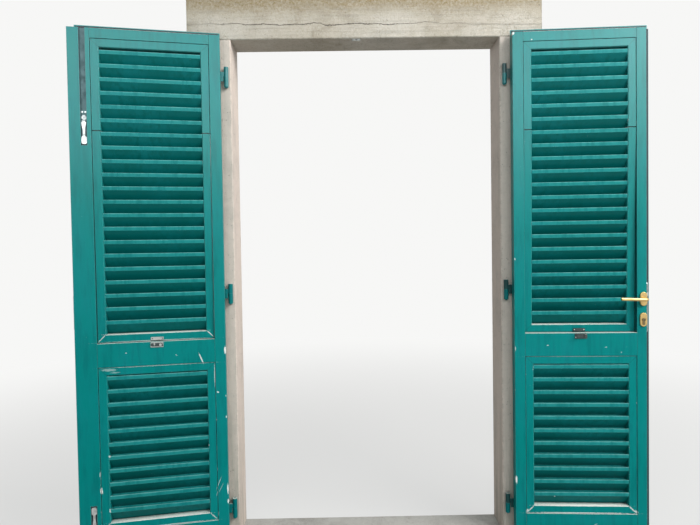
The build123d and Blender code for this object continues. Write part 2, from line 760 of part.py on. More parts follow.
def make_catch(leaf):
    """Keeper plate with the hook's pivot, the hook, and the flap's stud plate."""
    base = leaf.base
    centre = leaf.side * CATCH_CENTRE
    pivot = (hook_x(leaf), HOOK_AT)
    pivot_height = KEEPER_THICKNESS + 2 * HOOK_CLEARANCE + HOOK_THICKNESS
    with BuildPart() as keeper:
        with BuildSketch(facing(base, INNER_FACE)):
            with Locations((centre, HOOK_AT)):
                RectangleRounded(CATCH_WIDTH, KEEPER_HEIGHT, PLATE_RADIUS)
        extrude(amount=-KEEPER_THICKNESS)
        with BuildSketch(facing(base, INNER_FACE)):
            with Locations(pivot):
                Circle(STUD_RADIUS)
        extrude(amount=-pivot_height)
        with BuildSketch(facing(base, INNER_FACE + pivot_height)):
            with Locations(pivot):
                Circle(STUD_HEAD_RADIUS)
        extrude(amount=-STUD_HEAD_THICKNESS)
    save(keeper.part, f"{leaf.name}_catch_keeper")

    hook_radius = STUD_AT - HOOK_AT
    length = hook_radius + HOOK_TIP + HOOK_TAIL
    slot = STUD_RADIUS + HOOK_CLEARANCE
    with BuildPart() as hook:
        with BuildSketch(facing(base, HOOK_PLANE)):
            with Locations((pivot[0] + leaf.side * (length / 2 - HOOK_TAIL), pivot[1])):
                SlotOverall(length, HOOK_WIDTH)
            with Locations(pivot):
                Circle(STUD_RADIUS + PINTLE_CLEARANCE, mode=Mode.SUBTRACT)
            # open slot that takes the stud's neck as the hook swings up
            notch = (pivot[0] + leaf.side * hook_radius, pivot[1])
            with Locations(notch):
                Circle(slot, mode=Mode.SUBTRACT)
            with Locations((notch[0], notch[1] + HOOK_WIDTH / 2)):
                Rectangle(2 * slot, HOOK_WIDTH, mode=Mode.SUBTRACT)
        extrude(amount=-HOOK_THICKNESS)
    save(hook.part, f"{leaf.name}_catch_hook")

    flap = leaf.flap_base
    front = BAR_FRONT - FLAP_PIN_DEPTH
    stud_height = STUD_AT - PIVOT_HEIGHT
    neck_end = HOOK_PLANE + HOOK_THICKNESS + HOOK_CLEARANCE - FLAP_PIN_DEPTH
    with BuildPart() as stud:
        with BuildSketch(facing(flap, front)):
            with Locations((centre, stud_height)):
                RectangleRounded(CATCH_WIDTH, STUD_PLATE_HEIGHT, PLATE_RADIUS)
        extrude(amount=-STUD_PLATE_THICKNESS)
        with BuildSketch(facing(flap, front)):
            with Locations((hook_x(leaf), stud_height)):
                Circle(STUD_RADIUS)
        extrude(amount=-(neck_end - front))
        with BuildSketch(facing(flap, neck_end)):
            with Locations((hook_x(leaf), stud_height)):
                Circle(STUD_HEAD_RADIUS)
        extrude(amount=-STUD_HEAD_THICKNESS)
    save(stud.part, f"{leaf.name}_catch_stud")


# Hinges: straps on the leaf turn on pintles let into the jambs

def make_straps(leaf):
    base = leaf.base
    low, high = leaf.span(0, STRAP_REACH)
    with BuildPart() as straps:
        for at in HINGE_HEIGHTS:
            foot = at + KNUCKLE_CLEARANCE
            with BuildSketch(level(base, foot)):
                Circle(KNUCKLE_RADIUS)
            extrude(amount=KNUCKLE_HEIGHT)
            with BuildSketch(level(base, at - STRAP_HEIGHT / 2)):
                rectangle((low, OUTER_FACE - STRAP_THICKNESS), (high, OUTER_FACE))
            extrude(amount=STRAP_HEIGHT)
        for at in HINGE_HEIGHTS:
            # room for the pintle's knuckle below the strap's own barrel
            with BuildSketch(level(base, at + KNUCKLE_CLEARANCE - KNUCKLE_HEIGHT)):
                Circle(KNUCKLE_RADIUS + WALL_CLEARANCE)
            extrude(amount=KNUCKLE_HEIGHT, mode=Mode.SUBTRACT)
            with BuildSketch(level(base, at + KNUCKLE_CLEARANCE)):
                Circle(PINTLE_RADIUS + PINTLE_CLEARANCE)
            extrude(amount=KNUCKLE_HEIGHT, mode=Mode.SUBTRACT)
        with BuildSketch(facing(base, OUTER_FACE)):
            with Locations(*[(leaf.side * u, rise) for u, rise in screw_points()]):
                Circle(SCREW_RADIUS)
        extrude(amount=STRAP_THICKNESS, mode=Mode.SUBTRACT)
        rings = straps.edges().filter_by(GeomType.CIRCLE)
        rings = rings.filter_by(lambda e: abs(e.radius - KNUCKLE_RADIUS) < TOUCH)
        tops = rings.filter_by(lambda e: top_of_knuckle(e.center().Z - LEAF_FOOT))
        chamfer(tops, length=ARRIS)
    save(straps.part, f"{leaf.name}_hinge_straps")


def top_of_knuckle(height):
    """Whether a height is that of a strap barrel's upper end."""
    return any(
        abs(height - at - KNUCKLE_CLEARANCE - KNUCKLE_HEIGHT) < TOUCH
        for at in HINGE_HEIGHTS
    )


def screw(head_plane):
    """Pan-head screw. The plane's normal points from its shank to its head."""
    with BuildPart() as body:
        with BuildSketch(head_plane):
            Circle(SCREW_HEAD_RADIUS)
        extrude(amount=SCREW_HEAD_HEIGHT)
        crown = body.faces().sort_by(lambda f: f.center().dot(head_plane.z_dir))[-1]
        chamfer(crown.edges(), length=SCREW_HEAD_HEIGHT / 2)
        with BuildSketch(head_plane):
            Circle(SCREW_RADIUS)
        extrude(amount=-SCREW_LENGTH)
    return body.part


def make_strap_screws(leaf):
    base = leaf.base
    with BuildPart() as screws:
        for u, rise in screw_points():
            at = base.from_local_coords((leaf.side * u, OUTER_FACE - STRAP_THICKNESS, rise))
            add(screw(Plane(origin=at, x_dir=base.x_dir, z_dir=base.y_dir * -1)))
    save(screws.part, f"{leaf.name}_strap_screws")


def pintle_tail(side, height):
    """Low and high corners of one pintle's tail and of its seat in the jamb."""
    x = side * PIN_X
    z = LEAF_FOOT + height - TAIL_DROP
    return (x - TAIL / 2, z - TAIL / 2), (x + TAIL / 2, z + TAIL / 2)


def make_pintles():
    with BuildPart() as pintles:
        for side in (-1, 1):
            for height in HINGE_HEIGHTS:
                seat = Plane(origin=(side * PIN_X, PIN_Y, LEAF_FOOT + height))
                with BuildSketch(seat):
                    Circle(KNUCKLE_RADIUS)
                extrude(amount=-KNUCKLE_HEIGHT)
                with BuildSketch(seat):
                    Circle(PINTLE_RADIUS)
                extrude(amount=KNUCKLE_HEIGHT - ARRIS)
                with BuildSketch(seat.offset(-KNUCKLE_HEIGHT)):
                    Circle(KNUCKLE_RADIUS)
                extrude(amount=-PINTLE_RADIUS, taper=45)
                low, high = pintle_tail(side, height)
                with BuildSketch(Plane.XZ.offset(-PIN_Y)):
                    rectangle(low, high)
                extrude(amount=PIN_Y - TAIL_DEPTH)
    save(pintles.part, "wall_pintles")


# Lever flush bolts: channel, case, lever and rod, mirrored top and bottom

def make_channels():
    base = PASSIVE.base
    left = CHANNEL_X - CHANNEL_WIDTH / 2
    right = CHANNEL_X + CHANNEL_WIDTH / 2
    with BuildPart() as channels:
        for name, low, high, _, _ in channel_stretches():
            with BuildSketch(facing(base, INNER_FACE)):
                rectangle((left, low), (right, high))
            extrude(amount=CHANNEL_DEPTH)
        for name, low, high, _, pull in channel_stretches():
            # the leaf's end stays open, the lever's end is closed
            inner_low = low + CHANNEL_WALL if pull > 0 else low
            inner_high = high if pull > 0 else high - CHANNEL_WALL
            with BuildSketch(facing(base, INNER_FACE)):
                rectangle((left + CHANNEL_WALL, inner_low), (right - CHANNEL_WALL, inner_high))
            extrude(amount=CHANNEL_DEPTH - CHANNEL_WALL, mode=Mode.SUBTRACT)
    save(channels.part, "flush_bolt_channels")


def make_bolt_cases():
    """Base plate on the channel's floor, round boss, and lugs at the pivot."""
    base = PASSIVE.base
    lug_inner = LEVER_HUB_WIDTH / 2 + LEVER_CLEARANCE
    with BuildPart() as cases:
        for _, _, _, pivot, pull in channel_stretches():
            ends = sorted((pivot - pull * CASE_BEHIND, pivot + pull * CASE_AHEAD))
            with BuildSketch(facing(base, CHANNEL_FLOOR)):
                rectangle(
                    (CHANNEL_X - CASE_WIDTH / 2, ends[0]),
                    (CHANNEL_X + CASE_WIDTH / 2, ends[1]),
                )
            extrude(amount=-CASE_BASE)
            with BuildSketch(facing(base, CHANNEL_FLOOR + CASE_BASE)):
                with Locations((CHANNEL_X, pivot + pull * BOSS_OFFSET)):
                    Circle(BOSS_RADIUS)
            extrude(amount=-BOSS_HEIGHT)
            with BuildSketch(facing(base, CHANNEL_FLOOR + CASE_BASE)):
                for edge in (CHANNEL_X - lug_inner - LUG_WIDTH, CHANNEL_X + lug_inner):
                    rectangle((edge, pivot - LUG_HALF), (edge + LUG_WIDTH, pivot + LUG_HALF))
            extrude(amount=-(INNER_FACE - LUG_SHY - CHANNEL_FLOOR - CASE_BASE))
            pin_low = CHANNEL_X - lug_inner
            with BuildSketch(across(base, pin_low)):
                with Locations((LEVER_PIVOT_DEPTH, pivot)):
                    Circle(SCREW_RADIUS)
            extrude(amount=2 * lug_inner)
            with BuildSketch(facing(base, CHANNEL_FLOOR)):
                for shift in (-CASE_SCREW_SPACING / 2, CASE_SCREW_SPACING / 2):
                    with Locations((CHANNEL_X + shift, pivot + pull * CASE_SCREW_OFFSET)):
                        Circle(SCREW_RADIUS)
            extrude(amount=-CASE_BASE, mode=Mode.SUBTRACT)
    save(cases.part, "flush_bolt_cases")


def make_bolt_screws():
    base = PASSIVE.base
    with BuildPart() as screws:
        for _, _, _, pivot, pull in channel_stretches():
            for shift in (-CASE_SCREW_SPACING / 2, CASE_SCREW_SPACING / 2):
                at = base.from_local_coords(
                    (CHANNEL_X + shift, CHANNEL_FLOOR + CASE_BASE, pivot + pull * CASE_SCREW_OFFSET)
                )
                head = Plane(origin=at, x_dir=base.x_dir, z_dir=base.y_dir)
                with BuildSketch(head):
                    Circle(SCREW_HEAD_RADIUS)
                extrude(amount=BOSS_HEIGHT)
                with BuildSketch(head):
                    Circle(SCREW_RADIUS)
                extrude(amount=-CASE_BASE)
    save(screws.part, "flush_bolt_screws")


def make_lever(name, pivot, pull):
    """Flat tapered blade with a wide grip, on a hub across the channel."""
    base = PASSIVE.base
    back = -pull
    outline = [
        (-LEVER_HUB_WIDTH / 2, 0),
        (-LEVER_HUB_WIDTH / 2, back * LEVER_NECK),
        (-LEVER_BLADE_HALF, back * LEVER_NECK),
        (-LEVER_STEM_HALF, back * LEVER_WAIST),
        (-LEVER_STEM_HALF, back * LEVER_GRIP),
        (-LEVER_GRIP_HALF, back * LEVER_SHOULDER),
        (-LEVER_GRIP_HALF, back * LEVER_LENGTH),
    ]
    outline += [(-x, y) for x, y in reversed(outline)]
    points = [(CHANNEL_X + x, pivot + y) for x, y in outline]
    with BuildPart() as lever:
        with BuildSketch(facing(base, LEVER_PIVOT_DEPTH + LEVER_THICKNESS / 2)):
            Polygon(*points, align=None)
        extrude(amount=LEVER_THICKNESS)
        grip = lever.edges().filter_by(lambda e: abs(e.length - LEVER_THICKNESS) < TOUCH)
        tip = base.from_local_coords((CHANNEL_X, LEVER_PIVOT_DEPTH, pivot + back * LEVER_LENGTH))
        chamfer(grip.sort_by_distance(tip)[:2], length=LEVER_STEM_HALF)
        with BuildSketch(across(base, CHANNEL_X - LEVER_HUB_WIDTH / 2)):
            with Locations((LEVER_PIVOT_DEPTH, pivot)):
                Circle(LEVER_HUB_RADIUS)
        extrude(amount=LEVER_HUB_WIDTH)
        with BuildSketch(across(base, CHANNEL_X - LEVER_HUB_WIDTH / 2)):
            with Locations((LEVER_PIVOT_DEPTH, pivot)):
                Circle(SCREW_RADIUS + PINTLE_CLEARANCE)
        extrude(amount=LEVER_HUB_WIDTH, mode=Mode.SUBTRACT)
    save(lever.part, f"{name}_bolt_lever")


def make_rod(name, pivot, pull):
    """Round rod behind the channel, with a bevelled end."""
    base = PASSIVE.base
    end = LEAF_HEIGHT - ROD_SHY if pull > 0 else ROD_SHY
    with BuildPart() as rod:
        with BuildSketch(level(base, end)):
            with Locations((CHANNEL_X, ROD_DEPTH)):
                Circle(ROD_RADIUS)
        extrude(amount=pivot - end)
        tip = rod.faces().sort_by(lambda f: abs(f.center().Z - LEAF_FOOT - end))[0]
        chamfer(tip.edges(), length=ARRIS)
    save(rod.part, f"{name}_bolt_rod")


def make_strike_plate():
    base = PASSIVE.base
    edge = HINGE_EDGE + PASSIVE_WIDTH
    middle = (LATCH_AT + DEAD_AT) / 2
    with BuildPart() as plate:
        with BuildSketch(across(base, edge)):
            rectangle(
                (LOCK_DEPTH - STRIKE_WIDTH / 2, middle - STRIKE_HEIGHT / 2),
                (LOCK_DEPTH + STRIKE_WIDTH / 2, middle + STRIKE_HEIGHT / 2),
            )
        extrude(amount=STRIKE_THICKNESS)
        with BuildSketch(across(base, edge)):
            lock_windows(STRIKE_CLEARANCE)
        extrude(amount=STRIKE_THICKNESS, mode=Mode.SUBTRACT)
    save(plate.part, "strike_plate")


# Mortise lock with profile cylinder, levers and ovals

def faceplate_screws():
    """Heights of the two screws that hold the faceplate."""
    edge = FACEPLATE_WIDTH / 2
    return (FACEPLATE_HEAD - edge, FACEPLATE_FOOT + edge)


def make_lock():
    leaf = ACTIVE
    base = leaf.base
    spindle = (leaf.side * SPINDLE_X, SPINDLE_HEIGHT)
    cylinder = (leaf.side * SPINDLE_X, CYLINDER_AT)
    case_front = LOCK_DEPTH + LOCK_CASE_THICKNESS / 2
    low, high = leaf.span(LOCK_EDGE - LOCK_CASE_DEPTH, LOCK_EDGE)
    with BuildPart() as case:
        with BuildSketch(facing(base, case_front)):
            rectangle((low, CASE_FOOT), (high, CASE_HEAD))
        extrude(amount=LOCK_CASE_THICKNESS)
        # chamber, open towards the faceplate at the meeting edge
        with BuildSketch(facing(base, case_front - LOCK_CASE_WALL)):
            inner = leaf.span(LOCK_EDGE - LOCK_CASE_DEPTH + LOCK_CASE_WALL, LOCK_EDGE)
            rectangle(
                (inner[0], CASE_FOOT + LOCK_CASE_WALL), (inner[1], CASE_HEAD - LOCK_CASE_WALL)
            )
        extrude(amount=LOCK_CASE_THICKNESS - 2 * LOCK_CASE_WALL, mode=Mode.SUBTRACT)
        with BuildSketch(facing(base, case_front)):
            with Locations(spindle):
                Circle(SPINDLE_HOLE_RADIUS)
            cylinder_outline(cylinder, LOCK_CLEARANCE)
        extrude(amount=LOCK_CASE_THICKNESS, mode=Mode.SUBTRACT)
    save(case.part, "lock_case")

    low, high = leaf.span(LOCK_EDGE, LOCK_EDGE + FACEPLATE_THICKNESS)
    with BuildPart() as faceplate:
        with BuildSketch(across(base, low)):
            with Locations((LOCK_DEPTH, (FACEPLATE_HEAD + FACEPLATE_FOOT) / 2)):
                SlotOverall(FACEPLATE_HEAD - FACEPLATE_FOOT, FACEPLATE_WIDTH, rotation=90)
            lock_windows_cut()
            for rise in faceplate_screws():
                with Locations((LOCK_DEPTH, rise)):
                    Circle(SCREW_RADIUS, mode=Mode.SUBTRACT)
        extrude(amount=high - low)
    save(faceplate.part, "lock_faceplate")

    make_sliding_bolt(
        "latch_bolt", LATCH_AT, LATCH_HEIGHT, LATCH_THICKNESS, LATCH_TAIL, LATCH_THROW
    )
    make_sliding_bolt("dead_bolt", DEAD_AT, DEAD_HEIGHT, DEAD_THICKNESS, DEAD_TAIL, 0)

    proud = ESCUTCHEON_THICKNESS + CYLINDER_PROUD
    with BuildPart() as barrel:
        with BuildSketch(facing(base, INNER_FACE + proud)):
            cylinder_outline(cylinder, 0)
        extrude(amount=LEAF_THICKNESS + 2 * proud)
    save(barrel.part, "lock_cylinder")

    with BuildPart() as screws:
        for rise in faceplate_screws():
            at = base.from_local_coords(
                (leaf.side * (LOCK_EDGE + FACEPLATE_THICKNESS), LOCK_DEPTH, rise)
            )
            head = Plane(origin=at, x_dir=base.y_dir, z_dir=base.x_dir * leaf.side)
            with BuildSketch(head):
                Circle(SCREW_HEAD_RADIUS)
            extrude(amount=FACEPLATE_SCREW_PROUD)
            with BuildSketch(head):
                Circle(SCREW_RADIUS)
            extrude(amount=-SCREW_LENGTH)
    save(screws.part, "lock_screws")


def lock_windows_cut():
    """Windows of the faceplate, cut from the sketch being built."""
    with Locations((LOCK_DEPTH, LATCH_AT)):
        Rectangle(
            LATCH_THICKNESS + 2 * LOCK_CLEARANCE,
            LATCH_HEIGHT + 2 * LOCK_CLEARANCE,
            mode=Mode.SUBTRACT,
        )
    with Locations((LOCK_DEPTH, DEAD_AT)):
        Rectangle(
            DEAD_THICKNESS + 2 * LOCK_CLEARANCE,
            DEAD_HEIGHT + 2 * LOCK_CLEARANCE,
            mode=Mode.SUBTRACT,
        )


def make_sliding_bolt(name, at, height, thickness, tail, throw):
    """Bolt in the lock case, standing out of the faceplate by its throw."""
    leaf = ACTIVE
    face = LOCK_EDGE + FACEPLATE_THICKNESS
    low, high = leaf.span(face - tail, face + throw)
    with BuildPart() as bolt:
        with BuildSketch(across(leaf.base, low)):
            with Locations((LOCK_DEPTH, at)):
                Rectangle(thickness, height)
        extrude(amount=high - low)
        if throw:
            # the latch's slope, on the side that meets the strike first
            tip = leaf.base.from_local_coords(
                (leaf.side * (face + throw), LOCK_DEPTH + thickness / 2, at)
            )
            chamfer(bolt.edges().sort_by_distance(tip)[0], length=throw * LATCH_SLOPE)
    save(bolt.part, name)


def oval_plate(base, depth, amount, at):
    """Oval plate on a face, with its outer edge broken."""
    with BuildPart() as plate:
        with BuildSketch(facing(base, depth)):
            with Locations(at):
                SlotOverall(PLATE_HEIGHT, PLATE_WIDTH, rotation=90)
        extrude(amount=amount)
        middle = base.from_local_coords((at[0], depth - amount, at[1]))
        rim = plate.faces().sort_by_distance(middle)[0]
        fillet(rim.edges(), radius=abs(amount) / 3)
    return plate.part


def make_ovals():
    leaf = ACTIVE
    base = leaf.base
    spindle = (leaf.side * SPINDLE_X, SPINDLE_HEIGHT)
    cylinder = (leaf.side * SPINDLE_X, CYLINDER_AT)
    with BuildPart() as plates:
        add(oval_plate(base, INNER_FACE, -ROSE_THICKNESS, spindle))
        add(oval_plate(base, OUTER_FACE, ROSE_THICKNESS, spindle))
        with BuildSketch(facing(base, INNER_FACE + ROSE_THICKNESS)):
            with Locations(spindle):
                Circle(NECK_RADIUS + NECK_CLEARANCE)
        extrude(amount=LEAF_THICKNESS + 2 * ROSE_THICKNESS, mode=Mode.SUBTRACT)
        add(oval_plate(base, INNER_FACE, -ESCUTCHEON_THICKNESS, cylinder))
        add(oval_plate(base, OUTER_FACE, ESCUTCHEON_THICKNESS, cylinder))
        with BuildSketch(facing(base, INNER_FACE + ESCUTCHEON_THICKNESS)):
            cylinder_outline(cylinder, 0)
        extrude(amount=LEAF_THICKNESS + 2 * ESCUTCHEON_THICKNESS, mode=Mode.SUBTRACT)
    save(plates.part, "lock_oval_plates")


def make_handle():
    """Lever of oval section swept from its neck along a bend to its tip."""
    leaf = ACTIVE
    base = leaf.base
    start_x = leaf.side * SPINDLE_X
    rise = radians(HANDLE_RISE)
    tip_x = start_x - leaf.side * HANDLE_LENGTH * cos(rise)
    tip_z = SPINDLE_HEIGHT + HANDLE_LENGTH * sin(rise)
    arm = INNER_FACE + LEVER_PROJECTION - HANDLE_HALF_WIDTH
    start = INNER_FACE + NECK_CLEARANCE
    neck = LEVER_PROJECTION - 2 * HANDLE_BEND
    with BuildPart() as handle:
        with BuildLine() as path:
            corner = base.from_local_coords((start_x, arm, SPINDLE_HEIGHT))
            Line(base.from_local_coords((start_x, start, SPINDLE_HEIGHT)), corner)
            Line(corner, base.from_local_coords((tip_x, arm, tip_z)))
            fillet(path.vertices().sort_by_distance(corner)[0], radius=HANDLE_BEND)
        with BuildSketch(facing(base, start)):
            with Locations((start_x, SPINDLE_HEIGHT)):
                Ellipse(HANDLE_HALF_WIDTH, HANDLE_HALF_HEIGHT)
        sweep(path=path.line)
        with BuildSketch(facing(base, start)):
            with Locations((start_x, SPINDLE_HEIGHT)):
                Circle(NECK_RADIUS)
        extrude(amount=-neck)
        with BuildSketch(facing(base, start)):
            with Locations((start_x, SPINDLE_HEIGHT)):
                Rectangle(SPINDLE, SPINDLE)
        extrude(amount=-(neck - WALL), mode=Mode.SUBTRACT)
    save(handle.part, "inside_handle")


def make_knob():
    """Turned knob on the spindle's street end, clear of the flap beside it."""
    leaf = ACTIVE
    base = leaf.base
    axis = base.from_local_coords((leaf.side * SPINDLE_X, OUTER_FACE, SPINDLE_HEIGHT))
    plane = Plane(origin=axis, x_dir=base.x_dir, z_dir=base.z_dir)
    with BuildPart() as knob:
        with BuildSketch(plane) as half:
            with BuildLine():
                Polyline(
                    (0, -NECK_CLEARANCE),
                    (NECK_RADIUS, -NECK_CLEARANCE),
                    (NECK_RADIUS, -KNOB_NECK),
                    (KNOB_RADIUS, -KNOB_NECK - KNOB_SHOULDER),
                    (KNOB_RADIUS, -KNOB_PROJECTION + KNOB_SHOULDER),
                    (NECK_RADIUS, -KNOB_PROJECTION),
                    (0, -KNOB_PROJECTION),
                    close=True,
                )
            make_face()
            rim = half.vertices().sort_by(Axis.X)[-2:]
            fillet(rim, radius=KNOB_SHOULDER)
        revolve(axis=Axis(axis, base.y_dir))
        with BuildSketch(facing(base, OUTER_FACE)):
            with Locations((leaf.side * SPINDLE_X, SPINDLE_HEIGHT)):
                Rectangle(SPINDLE, SPINDLE)
        extrude(amount=KNOB_NECK, mode=Mode.SUBTRACT)
    save(knob.part, "outside_knob")


def make_spindle():
    leaf = ACTIVE
    base = leaf.base
    x = leaf.side * SPINDLE_X
    inner_end = INNER_FACE + NECK_CLEARANCE + LEVER_PROJECTION - 2 * HANDLE_BEND - WALL
    outer_end = OUTER_FACE - KNOB_NECK
    follower = LOCK_CASE_THICKNESS - 2 * LOCK_CASE_WALL - 2 * LOCK_CLEARANCE
    with BuildPart() as spindle:
        with BuildSketch(facing(base, inner_end)):
            with Locations((x, SPINDLE_HEIGHT)):
                Rectangle(SPINDLE, SPINDLE)
        extrude(amount=inner_end - outer_end)
        with BuildSketch(facing(base, LOCK_DEPTH + follower / 2)):
            with Locations((x, SPINDLE_HEIGHT)):
                Circle(FOLLOWER_RADIUS)
        extrude(amount=follower)
    save(spindle.part, "handle_spindle")


# Surround: two jambs, lintel and threshold

def make_jamb(name, side):
    """Stone jamb with its front arris worn, and seats for the pintles' tails."""
    reveal = side * OPENING_WIDTH / 2
    outer = side * (OPENING_WIDTH / 2 + JAMB_WIDTH)
    low, high = sorted((reveal, outer))
    with BuildPart() as jamb:
        with BuildSketch(Plane.XY):
            rectangle((low, 0), (high, SURROUND_DEPTH))
        extrude(amount=LINTEL_FOOT)
        arris = jamb.edges().filter_by(Axis.Z).sort_by_distance((reveal, 0, LINTEL_FOOT / 2))[0]
        chamfer(arris, length=STONE_ARRIS)
        with BuildSketch(Plane.XZ):
            for height in HINGE_HEIGHTS:
                rectangle(*pintle_tail(side, height))
        extrude(amount=-TAIL_DEPTH, mode=Mode.SUBTRACT)
    save(jamb.part, name)


def socket_corner():
    """Plan position of the flush-bolt rods with the passive leaf closed."""
    return -PIN_X + CHANNEL_X, PIN_Y + ROD_DEPTH


def make_lintel_and_threshold():
    x, y = socket_corner()
    length = OPENING_WIDTH / 2 + LINTEL_OVERHANG
    with BuildPart() as lintel:
        with BuildSketch(Plane.XY.offset(LINTEL_FOOT)):
            rectangle((-length, 0), (length, SURROUND_DEPTH))
        extrude(amount=LINTEL_HEIGHT)
        front = lintel.edges().filter_by(Axis.X).sort_by_distance((0, 0, LINTEL_FOOT))[0]
        chamfer(front, length=STONE_ARRIS)
        cut_socket(Plane.XY.offset(LINTEL_FOOT), x, y, 1)
    save(lintel.part, "lintel")
    with BuildPart() as threshold:
        with BuildSketch(Plane.XY):
            rectangle((-OPENING_WIDTH / 2, 0), (OPENING_WIDTH / 2, SURROUND_DEPTH))
        extrude(amount=THRESHOLD_HEIGHT)
        front = threshold.edges().filter_by(Axis.X).sort_by_distance((0, 0, THRESHOLD_HEIGHT))[0]
        chamfer(front, length=STONE_ARRIS)
        cut_socket(Plane.XY.offset(THRESHOLD_HEIGHT), x, y, -1)
    save(threshold.part, "threshold")
    with BuildPart() as sockets:
        for plane_height, into in ((LINTEL_FOOT, 1), (THRESHOLD_HEIGHT, -1)):
            with BuildSketch(Plane.XY.offset(plane_height)):
                with Locations((x, y)):
                    Rectangle(*SOCKET_PLATE)
                    Circle(ROD_RADIUS + ROD_CLEARANCE, mode=Mode.SUBTRACT)
            extrude(amount=into * SOCKET_PLATE_THICKNESS)
    save(sockets.part, "bolt_sockets")


def cut_socket(face, x, y, into):
    """Recess for a socket plate and the hole behind it."""
    with BuildSketch(face) as seat:
        with Locations((x, y)):
            Rectangle(*SOCKET_PLATE)
    extrude(seat.sketch, amount=into * SOCKET_PLATE_THICKNESS, mode=Mode.SUBTRACT)
    with BuildSketch(face) as hole:
        with Locations((x, y)):
            Circle(ROD_RADIUS + 2 * ROD_CLEARANCE)
    extrude(hole.sketch, amount=into * SOCKET_DEPTH, mode=Mode.SUBTRACT)


os.makedirs("parts", exist_ok=True)

for leaf in LEAVES:
    make_hinge_stile(leaf)
    save(rail_tube(leaf, 0, BOTTOM_RAIL), f"{leaf.name}_bottom_rail")
    save(rail_tube(leaf, MID_FOOT, MID_RAIL), f"{leaf.name}_mid_rail")
    make_top_rail(leaf)
    make_lap_seal(leaf)
    make_fixed_panels(leaf)
    make_flap(leaf)
    make_flap_pins(leaf)
    make_catch(leaf)
    make_straps(leaf)
    make_strap_screws(leaf)
make_passive_stile()
make_active_stile()
make_channels()
make_bolt_cases()
make_bolt_screws()
for bolt_name, _, _, bolt_pivot, bolt_pull in channel_stretches():
    make_lever(bolt_name, bolt_pivot, bolt_pull)
    make_rod(bolt_name, bolt_pivot, bolt_pull)
make_strike_plate()
make_lock()
make_ovals()
make_handle()
make_knob()
make_spindle()
make_pintles()
make_jamb("left_jamb", -1)
make_jamb("right_jamb", 1)
make_lintel_and_threshold()
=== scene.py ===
from itertools import product
from math import cos, pi, radians, sin

import bpy
from mathutils import Matrix, Vector


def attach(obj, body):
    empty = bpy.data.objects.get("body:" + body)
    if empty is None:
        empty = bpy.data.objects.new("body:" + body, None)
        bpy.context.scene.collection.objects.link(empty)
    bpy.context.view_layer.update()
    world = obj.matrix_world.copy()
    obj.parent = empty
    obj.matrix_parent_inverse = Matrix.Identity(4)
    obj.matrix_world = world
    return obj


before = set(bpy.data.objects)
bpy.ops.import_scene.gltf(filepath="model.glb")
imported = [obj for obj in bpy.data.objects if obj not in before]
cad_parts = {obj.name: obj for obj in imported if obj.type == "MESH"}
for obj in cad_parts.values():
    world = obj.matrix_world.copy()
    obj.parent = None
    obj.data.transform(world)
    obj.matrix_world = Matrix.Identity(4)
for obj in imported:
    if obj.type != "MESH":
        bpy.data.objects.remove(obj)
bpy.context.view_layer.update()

# Surround: two jambs, a lintel and a threshold, cut from soft limestone and
# limewashed many times. The stones are bedded in mortar; their arrises have
# worn round and the wash is stained where rain and hands reach it.


def put(tree, kind, inputs=None, **settings):
    """Add one shader node, with its settings, and link or set its inputs."""
    made = tree.nodes.new(kind)
    for name, value in settings.items():
        setattr(made, name, value)
    for name, value in (inputs or {}).items():
        socket = made.inputs[name]
        if isinstance(value, bpy.types.NodeSocket):
            tree.links.new(value, socket)
        else:
            socket.default_value = value
    return made


def new_finish(name):
    """A material with an empty tree, its surface shader and its own coordinates."""
    finish = bpy.data.materials.new(name)
    finish.use_nodes = True
    tree = finish.node_tree
    tree.nodes.clear()
    shader = tree.nodes.new("ShaderNodeBsdfPrincipled")
    output = tree.nodes.new("ShaderNodeOutputMaterial")
    tree.links.new(shader.outputs["BSDF"], output.inputs["Surface"])
    place = tree.nodes.new("ShaderNodeTexCoord").outputs["Object"]
    return finish, tree, shader, place


def new_effect(name, inputs, outputs):
    """A shader node group with named sockets: (name, socket type, value)."""
    group = bpy.data.node_groups.new(name, "ShaderNodeTree")
    for label, kind, value in inputs:
        socket = group.interface.new_socket(label, in_out="INPUT", socket_type=kind)
        if value is not None:
            socket.default_value = value
    for label, kind in outputs:
        group.interface.new_socket(label, in_out="OUTPUT", socket_type=kind)
    enter = group.nodes.new("NodeGroupInput")
    leave = group.nodes.new("NodeGroupOutput")
    return group, enter.outputs, leave.inputs


def ramp(tree, value, low, high):
    """Smooth 0 to 1 as the value goes from low to high."""
    return put(
        tree, "ShaderNodeMapRange", {0: value, 1: low, 2: high},
        interpolation_type="SMOOTHSTEP",
    ).outputs[0]


def sums(tree, operation, a, b=0.0):
    """One step of arithmetic."""
    return put(tree, "ShaderNodeMath", {0: a, 1: b}, operation=operation).outputs[0]


def times(tree, a, b):
    return sums(tree, "MULTIPLY", a, b)


def plus(tree, a, b):
    return sums(tree, "ADD", a, b)


def minus(tree, a, b):
    return sums(tree, "SUBTRACT", a, b)


def flip(tree, a):
    """A mask turned round: one less the value."""
    return sums(tree, "SUBTRACT", 1.0, a)


def larger(tree, a, b):
    return sums(tree, "MAXIMUM", a, b)


def absolute(tree, a):
    return sums(tree, "ABSOLUTE", a)


def dot(tree, a, b):
    """How far two vectors agree."""
    return put(
        tree, "ShaderNodeVectorMath", {0: a, 1: b}, operation="DOT_PRODUCT"
    ).outputs["Value"]


def split(tree, vector):
    """A vector's X, Y and Z."""
    return put(tree, "ShaderNodeSeparateXYZ", {0: vector}).outputs


def stretched(tree, place, scale):
    """The place drawn out, so that a pattern on it runs one way."""
    return put(tree, "ShaderNodeMapping", {"Vector": place, "Scale": scale}).outputs[0]


